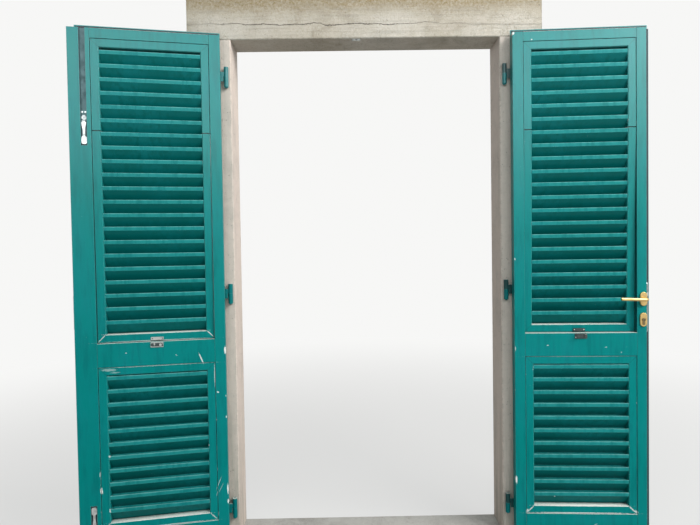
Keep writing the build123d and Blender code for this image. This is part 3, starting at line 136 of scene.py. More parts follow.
def noise(tree, place, scale, detail, roughness=0.5, distortion=0.0):
    """One layer of irregular patches, 0 to 1."""
    return put(tree, "ShaderNodeTexNoise", {
        "Vector": place, "Scale": scale, "Detail": detail, "Roughness": roughness,
        "Distortion": distortion,
    }).outputs["Fac"]


def tint(tree, share, a, b):
    """Colour a turned towards colour b by the share."""
    return put(tree, "ShaderNodeMix", {0: share, 6: a, 7: b}, data_type="RGBA").outputs[2]


FLOAT = "NodeSocketFloat"
COLOUR = "NodeSocketColor"
VECTOR = "NodeSocketVector"


def limewashed_stone():
    """Pitted, uneven limewash over limestone, rubbed bare on its arrises."""
    tree, enter, leave = new_effect(
        "limewash",
        [("Place", VECTOR, None), ("Wash", COLOUR, (0.62, 0.60, 0.55, 1)),
         ("Stain", COLOUR, (0.42, 0.40, 0.34, 1)), ("Stone", COLOUR, (0.20, 0.17, 0.13, 1)),
         ("Stained", FLOAT, 1.0)],
        [("Color", COLOUR), ("Roughness", FLOAT), ("Height", FLOAT)],
    )
    place = enter["Place"]
    cloud = noise(tree, place, 2.3, 6.0, 0.6)
    patch = noise(tree, place, 11.0, 6.0, 0.68, 0.6)
    mottle = noise(tree, place, 38.0, 6.0, 0.7)
    grain = noise(tree, place, 170.0, 4.0, 0.7)
    stained = times(tree, ramp(tree, cloud, 0.36, 0.66), ramp(tree, patch, 0.34, 0.66))
    stained = times(tree, stained, enter["Stained"])
    colour = tint(tree, stained, enter["Wash"], enter["Stain"])
    mottled = times(tree, ramp(tree, mottle, 0.48, 0.72), 0.35)
    colour = tint(tree, mottled, colour, enter["Stain"])
    grained = times(tree, ramp(tree, grain, 0.35, 0.75), 0.25)
    colour = tint(tree, grained, colour, (0.66, 0.63, 0.58, 1))
    # pits that go through the wash
    pits = put(tree, "ShaderNodeTexVoronoi", {"Vector": place, "Scale": 62.0})
    pitted = flip(tree, ramp(tree, pits.outputs["Distance"], 0.06, 0.22))
    pitted = times(tree, pitted, ramp(tree, patch, 0.47, 0.56))
    # arrises rubbed down to the stone, in stretches
    sharp = tree.nodes.new("ShaderNodeNewGeometry").outputs["Normal"]
    soft = put(tree, "ShaderNodeBevel", {"Radius": 0.010}, samples=4).outputs["Normal"]
    rubbed = flip(tree, ramp(tree, dot(tree, sharp, soft), 0.80, 0.99))
    rubbed = times(tree, rubbed, ramp(tree, mottle, 0.42, 0.58))
    bare = larger(tree, times(tree, pitted, 0.7), times(tree, rubbed, 0.75))
    colour = tint(tree, bare, colour, enter["Stone"])
    height = plus(tree, times(tree, mottle, 0.8), times(tree, patch, 0.9))
    height = plus(tree, height, times(tree, grain, 0.25))
    height = minus(tree, height, bare)
    tree.links.new(colour, leave["Color"])
    tree.links.new(plus(tree, 0.80, times(tree, grain, 0.15)), leave["Roughness"])
    tree.links.new(height, leave["Height"])
    return tree


limewash = limewashed_stone()


def stone_finish(name, wash, stain, stained=1.0, beyond=None):
    """Limewashed stone; beyond adds what only this stone has, and gives colour and height."""
    finish, tree, shader, place = new_finish(name)
    coat = put(tree, "ShaderNodeGroup", node_tree=limewash)
    tree.links.new(place, coat.inputs["Place"])
    coat.inputs["Wash"].default_value = (*wash, 1)
    coat.inputs["Stain"].default_value = (*stain, 1)
    coat.inputs["Stained"].default_value = stained
    colour, height = coat.outputs["Color"], coat.outputs["Height"]
    if beyond:
        colour, height = beyond(tree, place, colour, height)
    tree.links.new(colour, shader.inputs["Base Color"])
    tree.links.new(coat.outputs["Roughness"], shader.inputs["Roughness"])
    bump = put(tree, "ShaderNodeBump", {"Height": height, "Strength": 0.9, "Distance": 0.004})
    tree.links.new(bump.outputs["Normal"], shader.inputs["Normal"])
    return finish


DAMP = (0.24, 0.23, 0.18, 1)
RAIN_STREAK = (0.33, 0.32, 0.28, 1)


def rain_streaks(tree, place, colour, height):
    """Grey-green damp towards the foot, and streaks that the rain has drawn."""
    parts = split(tree, place)
    drips = stretched(tree, place, (9.0, 9.0, 0.7))
    streak = noise(tree, drips, 3.0, 5.0, 0.6)
    damp = flip(tree, ramp(tree, parts["Z"], 0.05, 0.9))
    damp = times(tree, damp, ramp(tree, streak, 0.35, 0.65))
    colour = tint(tree, times(tree, damp, 0.55), colour, DAMP)
    run = times(tree, ramp(tree, streak, 0.52, 0.72), 0.35)
    return tint(tree, run, colour, RAIN_STREAK), height


CRACK_HEIGHT = 2.512        # of the crack in the middle of the lintel
CRACK_FALL = -0.012         # how it drops to the right
CRACK_MIDDLE = -0.20        # where it gapes most
CRACK_WANDER = 0.075        # how far it strays up and down
CRACK_REACH = 0.05          # how deep it goes into the lintel
UPPER_DARK_HEIGHTS = 2.53, 2.63   # where the dark blotches begin and where they are thickest
CHALK = (0.70, 0.66, 0.60, 1)
EARTH = (0.22, 0.17, 0.10, 1)
UPPER_DARK = (0.23, 0.16, 0.06, 1)
BEDDING = (0.26, 0.235, 0.19, 1)
CRACK_DARK = (0.06, 0.05, 0.04, 1)


def lintel_weather(tree, place, colour, height):
    """A hairline crack along the lintel, chalky patches, and dark brown blotches thickening
    towards its upper edge.
    """
    parts = split(tree, place)
    jagged = noise(tree, place, 5.0, 12.0, 0.74)
    line = plus(tree, times(tree, parts["X"], CRACK_FALL), CRACK_HEIGHT)
    line = plus(tree, line, times(tree, minus(tree, jagged, 0.5), CRACK_WANDER))
    off = absolute(tree, minus(tree, parts["Z"], line))
    crack = flip(tree, ramp(tree, off, 0.0006, 0.0022))
    crack = times(tree, crack, sums(tree, "LESS_THAN", parts["Y"], CRACK_REACH))
    beside = absolute(tree, minus(tree, parts["X"], CRACK_MIDDLE))
    crack = times(tree, crack, flip(tree, times(tree, ramp(tree, beside, 0.25, 0.60), 0.8)))
    # chalky patches, earthy specks and dark brown blotches towards the upper edge
    speck = noise(tree, place, 75.0, 6.0, 0.8)
    wander = noise(tree, place, 3.5, 8.0, 0.62)
    chalk = times(tree, ramp(tree, wander, 0.44, 0.60), ramp(tree, speck, 0.40, 0.60))
    colour = tint(tree, times(tree, chalk, 0.55), colour, CHALK)
    colour = tint(tree, times(tree, ramp(tree, speck, 0.50, 0.68), 0.45), colour, EARTH)
    upper_dark = ramp(tree, parts["Z"], *UPPER_DARK_HEIGHTS)
    upper_dark = times(tree, upper_dark, ramp(tree, speck, 0.30, 0.62))
    colour = tint(tree, times(tree, upper_dark, 0.95), colour, UPPER_DARK)
    # level beds of the stone, and the crack through all of it
    bed = stretched(tree, place, (1.0, 1.0, 22.0))
    layer = noise(tree, bed, 3.0, 5.0, 0.6)
    colour = tint(tree, times(tree, ramp(tree, layer, 0.48, 0.70), 0.40), colour, BEDDING)
    colour = tint(tree, times(tree, crack, 0.8), colour, CRACK_DARK)
    height = plus(tree, height, times(tree, layer, 0.9))
    height = plus(tree, height, times(tree, speck, 1.2))
    return colour, minus(tree, height, times(tree, crack, 2.0))


def dress(node, finish):
    """Give a frame node its finish."""
    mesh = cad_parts[node].data
    mesh.materials.clear()
    mesh.materials.append(finish)


jamb_finish = stone_finish(
    "limewashed jamb", (0.60, 0.50, 0.43), (0.42, 0.36, 0.31), 0.6, rain_streaks
)
dress("left_jamb", jamb_finish)
dress("right_jamb", jamb_finish)
dress("lintel", stone_finish(
    "weathered lintel", (0.47, 0.41, 0.33), (0.31, 0.26, 0.19), 0.9, lintel_weather
))
dress("threshold", stone_finish("worn threshold", (0.36, 0.35, 0.32), (0.22, 0.21, 0.19)))

# Leaf frames: hollow aluminium sections, stiles the full height and rails
# butted between them, brushed with a glossy green paint. Edges are knocked
# through to the pale primer and the paint is scratched and dusty.

LEAF = {
    "left": {"pin": (-0.665, -0.014, 0.050), "opened": 169.6, "side": 1},
    "right": {"pin": (0.665, -0.014, 0.050), "opened": 176.5, "side": -1},
}


def leaf_ways(side):
    """Ways along a leaf from its hinge, and out of its inner face."""
    leaf = LEAF[side]
    turn = radians(-leaf["side"] * leaf["opened"])
    along = Vector((cos(turn), sin(turn), 0)) * leaf["side"]
    return along, Vector((-sin(turn), cos(turn), 0))


def vectors(tree, operation, a, b):
    """One step of vector arithmetic."""
    return put(tree, "ShaderNodeVectorMath", {0: a, 1: b}, operation=operation).outputs[0]


def length(tree, vector):
    return put(tree, "ShaderNodeVectorMath", {0: vector}, operation="LENGTH").outputs["Value"]


def leaf_place(tree, side):
    """Place on a leaf: (distance from the hinge axis, height above its foot, depth)."""
    along, inward = leaf_ways(side)
    place = tree.nodes.new("ShaderNodeTexCoord").outputs["Object"]
    off = vectors(tree, "SUBTRACT", place, LEAF[side]["pin"])
    return put(tree, "ShaderNodeCombineXYZ", {
        "X": dot(tree, off, along), "Y": split(tree, off)["Z"], "Z": dot(tree, off, inward),
    }).outputs[0]


FRAME_FACE = (0.030, 0.036)     # depths between which damage comes in
# Damage on the inner faces: distance from the hinge axis, height above the foot,
# half length, half width (metres), slant in degrees, and share of paint lost. The long
# pale lines along the bars' edges are rubbed paint and also a painted highlight on their
# bevels.
MARKS = {
    "left": (
        (0.0295, 0.917, 0.020, 0.0045, 89, 1.0),   # chip on the hinge arris
        (0.139, 0.883, 0.028, 0.0034, 68, 0.75),   # scratch on the mid rail
        (0.066, 0.720, 0.006, 0.0040, 20, 0.8),
        (0.590, 0.301, 0.016, 0.0055, 85, 1.0),
        (0.594, 0.377, 0.012, 0.0030, 95, 0.5),
        (0.552, 0.454, 0.005, 0.0040, 0, 0.8),
        (0.556, 0.205, 0.010, 0.0030, 85, 0.8),
        (0.071, 0.285, 0.034, 0.0014, 112, 0.6),   # scratches near the foot
        (0.061, 0.262, 0.026, 0.0010, 118, 0.5),
        (0.079, 0.240, 0.020, 0.0010, 105, 0.5),
        (0.0295, 0.255, 0.028, 0.0036, 90, 1.0),
        (0.0295, 0.195, 0.012, 0.0036, 90, 1.0),
        (0.0755, 0.141, 0.012, 0.0012, 90, 0.9),
        (0.470, 0.925, 0.004, 0.0030, 10, 0.7),
        (0.250, 0.905, 0.005, 0.0020, 30, 0.5),
        (0.334, 0.8615, 0.256, 0.0022, 0, 0.75),   # rubbed edge of the lower panel, with a painted highlight along its bevel
        (0.0795, 0.800, 0.062, 0.0020, 90, 0.6),
        (0.545, 0.851, 0.034, 0.0065, 2, 0.30),
        (0.520, 0.838, 0.022, 0.0030, 0, 0.25),
        (0.334, 1.0125, 0.224, 0.0032, 0, 0.9),    # rubbed bottom bar of the flap, with a painted highlight along its bevel
        (0.096, 0.9960, 0.026, 0.0022, 45, 1.0),
        (0.572, 0.9960, 0.026, 0.0018, -45, 0.9),
        (0.334, 0.9770, 0.256, 0.0020, 0, 0.5),
        (0.098, 0.1320, 0.026, 0.0026, 45, 0.8),   # rubbed, dusty bottom bar of the lower panel, with a painted highlight along its bevels
        (0.570, 0.1320, 0.026, 0.0026, -45, 0.8),
        (0.334, 0.1475, 0.222, 0.0030, 0, 0.9),
        (0.334, 0.1125, 0.256, 0.0026, 0, 0.7),
        (0.0760, 0.590, 0.005, 0.0022, 80, 0.9),
        (0.113, 0.470, 0.004, 0.0022, 90, 0.9),
        (0.076, 0.350, 0.010, 0.0015, 95, 0.7),
        (0.0295, 0.600, 0.006, 0.0030, 90, 0.9),
        (0.0295, 0.700, 0.004, 0.0028, 90, 0.7),
    ),
    "right": (
        (0.0295, 0.272, 0.020, 0.0048, 90, 1.0),
        (0.030, 2.383, 0.008, 0.0060, 60, 1.0),    # chip at the top corner
        (0.030, 1.326, 0.006, 0.0030, 90, 0.7),
        (0.180, 0.915, 0.005, 0.0025, 15, 0.5),
        (0.520, 0.880, 0.004, 0.0020, 60, 0.5),
        (0.115, 2.352, 0.004, 0.0030, 0, 0.8),
        (0.400, 0.060, 0.010, 0.0015, 20, 0.5),
        (0.334, 0.8615, 0.256, 0.0018, 0, 0.55),   # rubbed edge of the lower panel, with a painted highlight along its bevel
        (0.334, 1.0125, 0.224, 0.0020, 0, 0.7),    # rubbed bottom bar of the flap, with a painted highlight along its bevel
        (0.096, 0.9960, 0.026, 0.0022, 45, 1.0),
        (0.572, 0.9960, 0.026, 0.0018, -45, 0.8),
        (0.098, 0.1320, 0.026, 0.0030, 45, 0.9),   # rubbed, dusty bottom bar of the lower panel, with a painted highlight along its bevels
        (0.570, 0.1320, 0.026, 0.0030, -45, 0.9),
        (0.334, 0.1475, 0.222, 0.0034, 0, 0.9),
        (0.334, 0.1125, 0.256, 0.0030, 0, 0.9),
        (0.080, 0.1200, 0.010, 0.0070, 60, 0.6),
        (0.588, 0.1200, 0.010, 0.0070, -60, 0.6),
        (0.210, 0.1900, 0.004, 0.0030, 20, 0.7),
        (0.340, 0.1560, 0.006, 0.0030, 0, 0.9),
        (0.0295, 0.900, 0.012, 0.0024, 90, 0.6),
        (0.590, 0.640, 0.006, 0.0016, 90, 0.7),
        (0.450, 0.905, 0.006, 0.0020, 10, 0.5),
    ),
}


def damage_effect(side):
    """Where the paint of one leaf is knocked or scratched off; the long lines along the bars'
    edges are also painted highlights on their bevels.
    """
    tree, enter, leave = new_effect(
        f"damage on the {side} leaf", [("Leaf", VECTOR, None)], [("Lost", FLOAT)]
    )
    flat = vectors(tree, "MULTIPLY", enter["Leaf"], (1, 1, 0))
    ragged = noise(tree, enter["Leaf"], 240.0, 4.0, 0.75)
    ragged = times(tree, minus(tree, ragged, 0.5), 2.4)
    lost = 0.0
    for u, v, long, wide, slant, share in MARKS[side]:
        near = put(tree, "ShaderNodeMapping", {
            "Vector": flat, "Location": (u, v, 0), "Rotation": (0, 0, radians(slant)),
            "Scale": (long, wide, 1),
        }, vector_type="TEXTURE")
        away = length(tree, near.outputs[0])
        edge = flip(tree, ramp(tree, plus(tree, away, ragged), 0.7, 1.0))
        lost = larger(tree, lost, times(tree, edge, share))
    inner = split(tree, enter["Leaf"])["Z"]
    lost = times(tree, lost, ramp(tree, inner, *FRAME_FACE))
    tree.links.new(lost, leave["Lost"])
    return tree


damage = {side: damage_effect(side) for side in LEAF}

# Corners of the panels' bars: heights above the leaf's foot and distances from the
# hinge axis, each with the way inwards. Then the joints of the stiles with the rails.
BAR = 0.036
PANEL_CORNERS = ((0.112, 1), (0.861, -1), (0.976, 1), (2.343, -1))
PANEL_SIDES = ((0.078, 1), (0.590, -1))
BUTT_JOINTS = (0.076, 0.592)


def joint_effect():
    """Hairlines of the mitres and butt joints."""
    tree, enter, leave = new_effect("joints", [("Leaf", VECTOR, None)], [("Line", FLOAT)])
    parts = split(tree, enter["Leaf"])
    line = 0.0
    for (v, way_v), (u, way_u) in product(PANEL_CORNERS, PANEL_SIDES):
        along = times(tree, minus(tree, parts["X"], u), way_u)
        up = times(tree, minus(tree, parts["Y"], v), way_v)
        off = absolute(tree, minus(tree, along, up))
        here = flip(tree, ramp(tree, off, 0.0006, 0.0014))
        here = times(tree, here, sums(tree, "GREATER_THAN", along, 0.0))
        here = times(tree, here, sums(tree, "LESS_THAN", along, BAR))
        line = larger(tree, line, here)
    for u in BUTT_JOINTS:
        off = absolute(tree, minus(tree, parts["X"], u))
        line = larger(tree, line, flip(tree, ramp(tree, off, 0.0004, 0.0012)))
    tree.links.new(line, leave["Line"])
    return tree


joints = joint_effect()


BRUSH_MARK = (0.0, 0.115, 0.112, 1)
# paler green along the arrises: worn paint and a painted highlight
ARRIS_WEAR_AND_HIGHLIGHT = (0.22, 0.50, 0.48, 1)
PRIMER = (0.74, 0.75, 0.71, 1)
DUST = (0.60, 0.60, 0.54, 1)
FLECK = (0.45, 0.5, 0.47, 1)
# dark of the joint lines, also used for the shade painted into hollows
JOINT_LINE_AND_PAINTED_SHADE = (0.006, 0.030, 0.030, 1)


def paint_effect():
    """Brushed gloss paint with chips, scuffs, runs and dust, a paler green along its arrises
    that is worn paint and a painted highlight, and painted shade in its hollows.
    """
    tree, enter, leave = new_effect(
        "gloss paint",
        [("Place", VECTOR, None), ("Paint", COLOUR, (0, 0.2, 0.2, 1)),
         ("Faded", COLOUR, (0.05, 0.26, 0.26, 1)), ("Wear", FLOAT, 0.5),
         ("Lost", FLOAT, 0.0), ("Line", FLOAT, 0.0), ("Dust", FLOAT, 0.9),
         ("Arris", FLOAT, 0.35)],
        [("Color", COLOUR), ("Roughness", FLOAT), ("Height", FLOAT)],
    )
    place = enter["Place"]
    drawn = stretched(tree, place, (1.0, 1.0, 0.12))
    cloud = noise(tree, place, 3.1, 5.0, 0.6)
    runs = noise(tree, drawn, 42.0, 5.0, 0.65)
    fine = noise(tree, place, 260.0, 3.0, 0.6)
    fading = times(tree, ramp(tree, cloud, 0.35, 0.72), ramp(tree, runs, 0.32, 0.72))
    colour = tint(tree, times(tree, fading, 0.65), enter["Paint"], enter["Faded"])
    brushed = times(tree, ramp(tree, runs, 0.42, 0.66), 0.50)
    colour = tint(tree, brushed, colour, BRUSH_MARK)
    broken = noise(tree, place, 34.0, 6.0, 0.75)
    # arrises, where the rounded normal leaves the true one: a paler green along them is worn
    # paint and a painted highlight, and in patches they are rubbed to the primer
    sharp = tree.nodes.new("ShaderNodeNewGeometry").outputs["Normal"]
    soft = put(tree, "ShaderNodeBevel", {"Radius": 0.0022}, samples=3).outputs["Normal"]
    edge = flip(tree, ramp(tree, dot(tree, sharp, soft), 0.86, 0.985))
    paler = times(tree, times(tree, edge, enter["Arris"]), ramp(tree, broken, 0.30, 0.55))
    colour = tint(tree, paler, colour, ARRIS_WEAR_AND_HIGHLIGHT)
    rubbed = times(tree, edge, ramp(tree, broken, 0.60, 0.68))
    rubbed = times(tree, rubbed, enter["Wear"])
    rubbed = larger(tree, rubbed, enter["Lost"])
    colour = tint(tree, rubbed, colour, PRIMER)
    # dust on what looks upwards
    facing = tree.nodes.new("ShaderNodeTexCoord").outputs["Normal"]
    up = split(tree, facing)["Z"]
    ledge = times(tree, ramp(tree, up, 0.45, 0.75), ramp(tree, fine, 0.25, 0.55))
    ledge = times(tree, ledge, enter["Dust"])
    colour = tint(tree, ledge, colour, DUST)
    # pin-head flecks of pale dirt
    cells = put(tree, "ShaderNodeTexVoronoi", {"Vector": place, "Scale": 62.0})
    flecked = flip(tree, ramp(tree, cells.outputs["Distance"], 0.035, 0.075))
    flecked = times(tree, flecked, ramp(tree, broken, 0.56, 0.64))
    colour = tint(tree, times(tree, flecked, 0.6), colour, FLECK)
    rough = plus(tree, 0.24, times(tree, cloud, 0.16))
    rough = plus(tree, rough, times(tree, larger(tree, rubbed, ledge), 0.4))
    height = minus(tree, times(tree, runs, 0.55), rubbed)
    height = plus(tree, height, times(tree, fine, 0.12))
    # dark joint lines, and painted shade where surfaces close in on each other, taken from
    # ambient occlusion
    hollow = put(tree, "ShaderNodeAmbientOcclusion", {"Distance": 0.014}, samples=4)
    joint_line_and_shade = flip(tree, ramp(tree, hollow.outputs["AO"], 0.30, 0.75))
    joint_line_and_shade = times(tree, larger(tree, joint_line_and_shade, enter["Line"]), 0.6)
    colour = tint(tree, joint_line_and_shade, colour, JOINT_LINE_AND_PAINTED_SHADE)
    tree.links.new(colour, leave["Color"])
    tree.links.new(rough, leave["Roughness"])
    tree.links.new(height, leave["Height"])
    return tree


gloss_paint = paint_effect()

PAINT = (0.0003, 0.186, 0.174)
FADED = (0.010, 0.255, 0.272)
# the frames' green darkened for the slats: painted shade for their undersides
SLAT_PAINT_IN_PAINTED_SHADE = (0.0002, 0.112, 0.102)
NOSE_FACE_PAINTED_LIGHT = (0.014, 0.210, 0.200)
NOSE_PAINTED_HIGHLIGHT = (0.085, 0.360, 0.340)
SLAT_PITCH = 0.061
SHEEN = 0.35                # specular level that the paint gains with height
SHEEN_HEIGHTS = 0.6, 2.5    # where the sheen begins and where it is full


def painted(name, paint, faded, wear=0.7, side=None, nose=None, sheen=SHEEN):
    """The leaves' paint. side adds a leaf's damage and joints; nose, the height of one
    slat nose above the leaf's foot, adds painted light to the noses of a row of slats: a
    lighter face and a painted highlight along their upper edge.
    """
    finish, tree, shader, place = new_finish(name)
    coat = put(tree, "ShaderNodeGroup", node_tree=gloss_paint)
    tree.links.new(place, coat.inputs["Place"])
    coat.inputs["Paint"].default_value = (*paint, 1)
    coat.inputs["Faded"].default_value = (*faded, 1)
    coat.inputs["Wear"].default_value = wear
    if side:
        lost = put(tree, "ShaderNodeGroup", node_tree=damage[side])
        tree.links.new(leaf_place(tree, side), lost.inputs["Leaf"])
        tree.links.new(lost.outputs["Lost"], coat.inputs["Lost"])
        if nose is None:
            line = put(tree, "ShaderNodeGroup", node_tree=joints)
            tree.links.new(leaf_place(tree, side), line.inputs["Leaf"])
            tree.links.new(line.outputs["Line"], coat.inputs["Line"])
    if nose:
        coat.inputs["Dust"].default_value = 0.25
        coat.inputs["Arris"].default_value = 0.6
        # noses that face the street: a lighter face, painted light, and a painted highlight
        # along the upper edge, broken in patches by noise
        facing = tree.nodes.new("ShaderNodeTexCoord").outputs["Normal"]
        looks = ramp(tree, dot(tree, facing, (0, -1, 0)), 0.80, 0.95)
        up = split(tree, leaf_place(tree, side))["Y"]
        below = sums(tree, "FLOORED_MODULO", minus(tree, nose, up), SLAT_PITCH)
        rubbed = noise(tree, place, 14.0, 5.0, 0.7)
        upper = flip(tree, ramp(tree, below, 0.0035, 0.0080))
        upper = times(tree, upper, ramp(tree, rubbed, 0.30, 0.55))
        face = tint(tree, looks, (*paint, 1), (*NOSE_FACE_PAINTED_LIGHT, 1))
        face = tint(tree, times(tree, looks, upper), face, (*NOSE_PAINTED_HIGHLIGHT, 1))
        tree.links.new(face, coat.inputs["Paint"])
    tree.links.new(coat.outputs["Color"], shader.inputs["Base Color"])
    tree.links.new(coat.outputs["Roughness"], shader.inputs["Roughness"])
    height = split(tree, place)["Z"]
    gloss = plus(tree, 0.05, times(tree, ramp(tree, height, *SHEEN_HEIGHTS), sheen))
    tree.links.new(gloss, shader.inputs["Specular IOR Level"])
    bump = put(tree, "ShaderNodeBump", {
        "Height": coat.outputs["Height"], "Strength": 0.25, "Distance": 0.0006,
    })
    tree.links.new(bump.outputs["Normal"], shader.inputs["Normal"])
    return finish


frame_paint = {
    side: painted(f"green gloss on the {side} frames", PAINT, FADED, 0.8, side) for side in LEAF
}
for side in LEAF:
    for part in ("hinge_stile", "meeting_stile", "top_rail", "mid_rail", "bottom_rail"):
        dress(f"{side}_{part}", frame_paint[side])

# Lap seals: flat black rubber stuck on the laps that close on the lintel and on
# the other leaf. The sun has dulled it, and dust clings to it in patches.

rubber, tree, shader, place = new_finish("dusty rubber")
speck = noise(tree, place, 160.0, 5.0, 0.7)
dusted = times(tree, ramp(tree, speck, 0.45, 0.75), 0.5)
dusty = tint(tree, dusted, (0.018, 0.016, 0.022, 1), (0.10, 0.095, 0.09, 1))
tree.links.new(dusty, shader.inputs["Base Color"])
tree.links.new(plus(tree, 0.62, times(tree, speck, 0.25)), shader.inputs["Roughness"])
for side in LEAF:
    dress(f"{side}_lap_seal", rubber)

# Louvred panels: hollow bars mitred at their corners with sloping slats housed
# between them, in the same green, darkened on the slats as painted shade. The flap
# hangs on two pins at its top. A narrow closing strip lies behind the head of each fixed panel.

LOWER_NOSE, FLAP_NOSE = 0.214, 1.078        # first slat noses, above the leaf's foot
STRIP_HEIGHT, STRIP_THICKNESS, STRIP_LENGTH = 0.014, 0.008, 0.436
PANEL_MIDDLE, STRIP_DEPTH = 0.334, 0.016    # along the leaf and inwards, from the hinge axis
PANEL_HEADS = {"lower": 0.8245, "upper": 2.3065}
FLAP_PIVOT = (1.923, 0.018)                 # height above the leaf's foot, depth
FLAP_TILT = {"left": 0.5, "right": 1.4}


def on_leaf(side, u, v, depth, tilt=0.0):
    """Matrix of a spot on a leaf's inner face: x along the leaf, y up, z towards the viewer."""
    along, inward = leaf_ways(side)
    if tilt:
        swing = radians(tilt)
        below, ahead = FLAP_PIVOT[0] - v, depth - FLAP_PIVOT[1]
        depth = FLAP_PIVOT[1] + ahead * cos(swing) - below * sin(swing)
        v = FLAP_PIVOT[0] - below * cos(swing) - ahead * sin(swing)
    spot = Vector(LEAF[side]["pin"]) + along * u + inward * depth + Vector((0, 0, v))
    up = Vector((0, 0, 1))
    axes = Matrix((up.cross(inward), up, inward)).transposed().to_4x4()
    return Matrix.Translation(spot) @ axes


def start_piece():
    """Nothing selected, so that the next primitive is worked on alone."""
    bpy.ops.object.select_all(action="DESELECT")


def settle(piece, name, matrix, finish):
    """Put a piece that was modelled at the origin in its place and give it its finish."""
    piece.name = name
    piece.matrix_world = matrix
    start_piece()
    piece.select_set(True)
    bpy.context.view_layer.objects.active = piece
    bpy.ops.object.transform_apply(location=True, rotation=True, scale=True)
    bpy.ops.object.shade_smooth_by_angle(angle=radians(35))
    piece.data.materials.append(finish)
    return piece


def bevel_edges(width, segments):
    """Break every edge of the active piece."""
    bpy.ops.object.mode_set(mode="EDIT")
    bpy.ops.mesh.select_all(action="SELECT")
    bpy.ops.mesh.bevel(offset=width, segments=segments, affect="EDGES")
    bpy.ops.object.mode_set(mode="OBJECT")


def closing_strip():
    """Flat strip that hangs below the origin, its edges broken."""
    start_piece()
    bpy.ops.mesh.primitive_cube_add(
        size=1, location=(0, -STRIP_HEIGHT / 2, 0),
        scale=(STRIP_LENGTH, STRIP_HEIGHT, STRIP_THICKNESS),
    )
    bpy.ops.object.transform_apply(location=True, scale=True)
    bevel_edges(0.0015, 2)
    return bpy.context.object


# The slats carry the darkened green, painted shade for their undersides, with painted light on
# their noses.
slat_paint = {
    (side, row): painted(
        f"green gloss on the {side} {row} slats", SLAT_PAINT_IN_PAINTED_SHADE, FADED, 0.4, side, nose, 0.05
    )
    for side in LEAF for row, nose in (("lower", LOWER_NOSE), ("upper", FLAP_NOSE))
}
for side in LEAF:
    for part in ("upper", "lower", "flap"):
        dress(f"{side}_{part}_frame", frame_paint[side])
    for part, row in (("upper", "upper"), ("lower", "lower"), ("flap", "upper")):
        dress(f"{side}_{part}_slats", slat_paint[side, row])
    for row, head in PANEL_HEADS.items():
        strip = settle(closing_strip(), f"{side}_{row}_closing_strip",
                       on_leaf(side, PANEL_MIDDLE, head, STRIP_DEPTH), slat_paint[side, row])
        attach(strip, f"{side}_leaf")

# Hinges: forged pintles let into the stone, and straps with rolled barrels
# screwed to the leaves' outer faces, all painted over with the leaves. The flap
# pins are bare steel.

hinge_paint = painted("green gloss on the hinges", (0.001, 0.13, 0.13), FADED, 0.9)
# The right hinges get a darker copy of the hinge green, fading to brown in patches.
darker_hinge_paint = painted(
    "darker green on the right hinges", (0.012, 0.050, 0.050), (0.07, 0.06, 0.05), 0.9
)
for node in ("wall_pintles", "left_hinge_straps", "left_strap_screws"):
    dress(node, hinge_paint)
for node in ("right_hinge_straps", "right_strap_screws"):
    dress(node, darker_hinge_paint)


def metal_effect():
    """Handled metal: fine scratches and tarnish in patches."""
    tree, enter, leave = new_effect(
        "handled metal",
        [("Place", VECTOR, None), ("Metal", COLOUR, (0.6, 0.6, 0.6, 1)),
         ("Tarnish", COLOUR, (0.2, 0.2, 0.2, 1)), ("Amount", FLOAT, 0.5)],
        [("Color", COLOUR), ("Roughness", FLOAT), ("Height", FLOAT)],
    )
    place = enter["Place"]
    cloud = noise(tree, place, 38.0, 5.0, 0.65)
    fine = noise(tree, place, 700.0, 2.0)
    drawn = stretched(tree, place, (6.0, 6.0, 260.0))
    brush = noise(tree, drawn, 5.0, 2.0)
    dull = times(tree, ramp(tree, cloud, 0.38, 0.68), enter["Amount"])
    colour = tint(tree, dull, enter["Metal"], enter["Tarnish"])
    rough = plus(tree, 0.30, times(tree, dull, 0.35))
    rough = plus(tree, rough, times(tree, fine, 0.08))
    tree.links.new(colour, leave["Color"])
    tree.links.new(rough, leave["Roughness"])
    tree.links.new(plus(tree, times(tree, brush, 0.5), fine), leave["Height"])
    return tree


handled_metal = metal_effect()


def metal(name, colour, tarnish, amount=0.5, metallic=1.0):
    """A metal's finish; amount is the share of it that is tarnished."""
    finish, tree, shader, place = new_finish(name)
    worn = put(tree, "ShaderNodeGroup", node_tree=handled_metal)
    tree.links.new(place, worn.inputs["Place"])
    worn.inputs["Metal"].default_value = (*colour, 1)
    worn.inputs["Tarnish"].default_value = (*tarnish, 1)
    worn.inputs["Amount"].default_value = amount
    tree.links.new(worn.outputs["Color"], shader.inputs["Base Color"])
    tree.links.new(worn.outputs["Roughness"], shader.inputs["Roughness"])
    shader.inputs["Metallic"].default_value = metallic
    bump = put(tree, "ShaderNodeBump", {
        "Height": worn.outputs["Height"], "Strength": 0.12, "Distance": 0.0003,
    })
    tree.links.new(bump.outputs["Normal"], shader.inputs["Normal"])
    return finish


bare_steel = metal("bare steel pins", (0.45, 0.45, 0.44), (0.16, 0.13, 0.10), 0.7)
for node in ("left_flap_pins", "right_flap_pins"):
    dress(node, bare_steel)

# Catches: a small hook turns on a plate screwed to the mid rail and drops over
# a stud on the flap's bottom bar. The plates are zinc-plated on the left and
# blackened on the right, the hooks blackened, and the screws in the other finish.

zinc = metal("zinc plate", (0.50, 0.52, 0.50), (0.22, 0.24, 0.23), 0.6)
blackened = metal("blackened steel", (0.06, 0.075, 0.075), (0.02, 0.03, 0.03), 0.5, 0.6)
for part in ("catch_keeper", "catch_stud"):
    dress(f"left_{part}", zinc)
    dress(f"right_{part}", blackened)
dress("left_catch_hook", blackened)
dress("right_catch_hook", blackened)


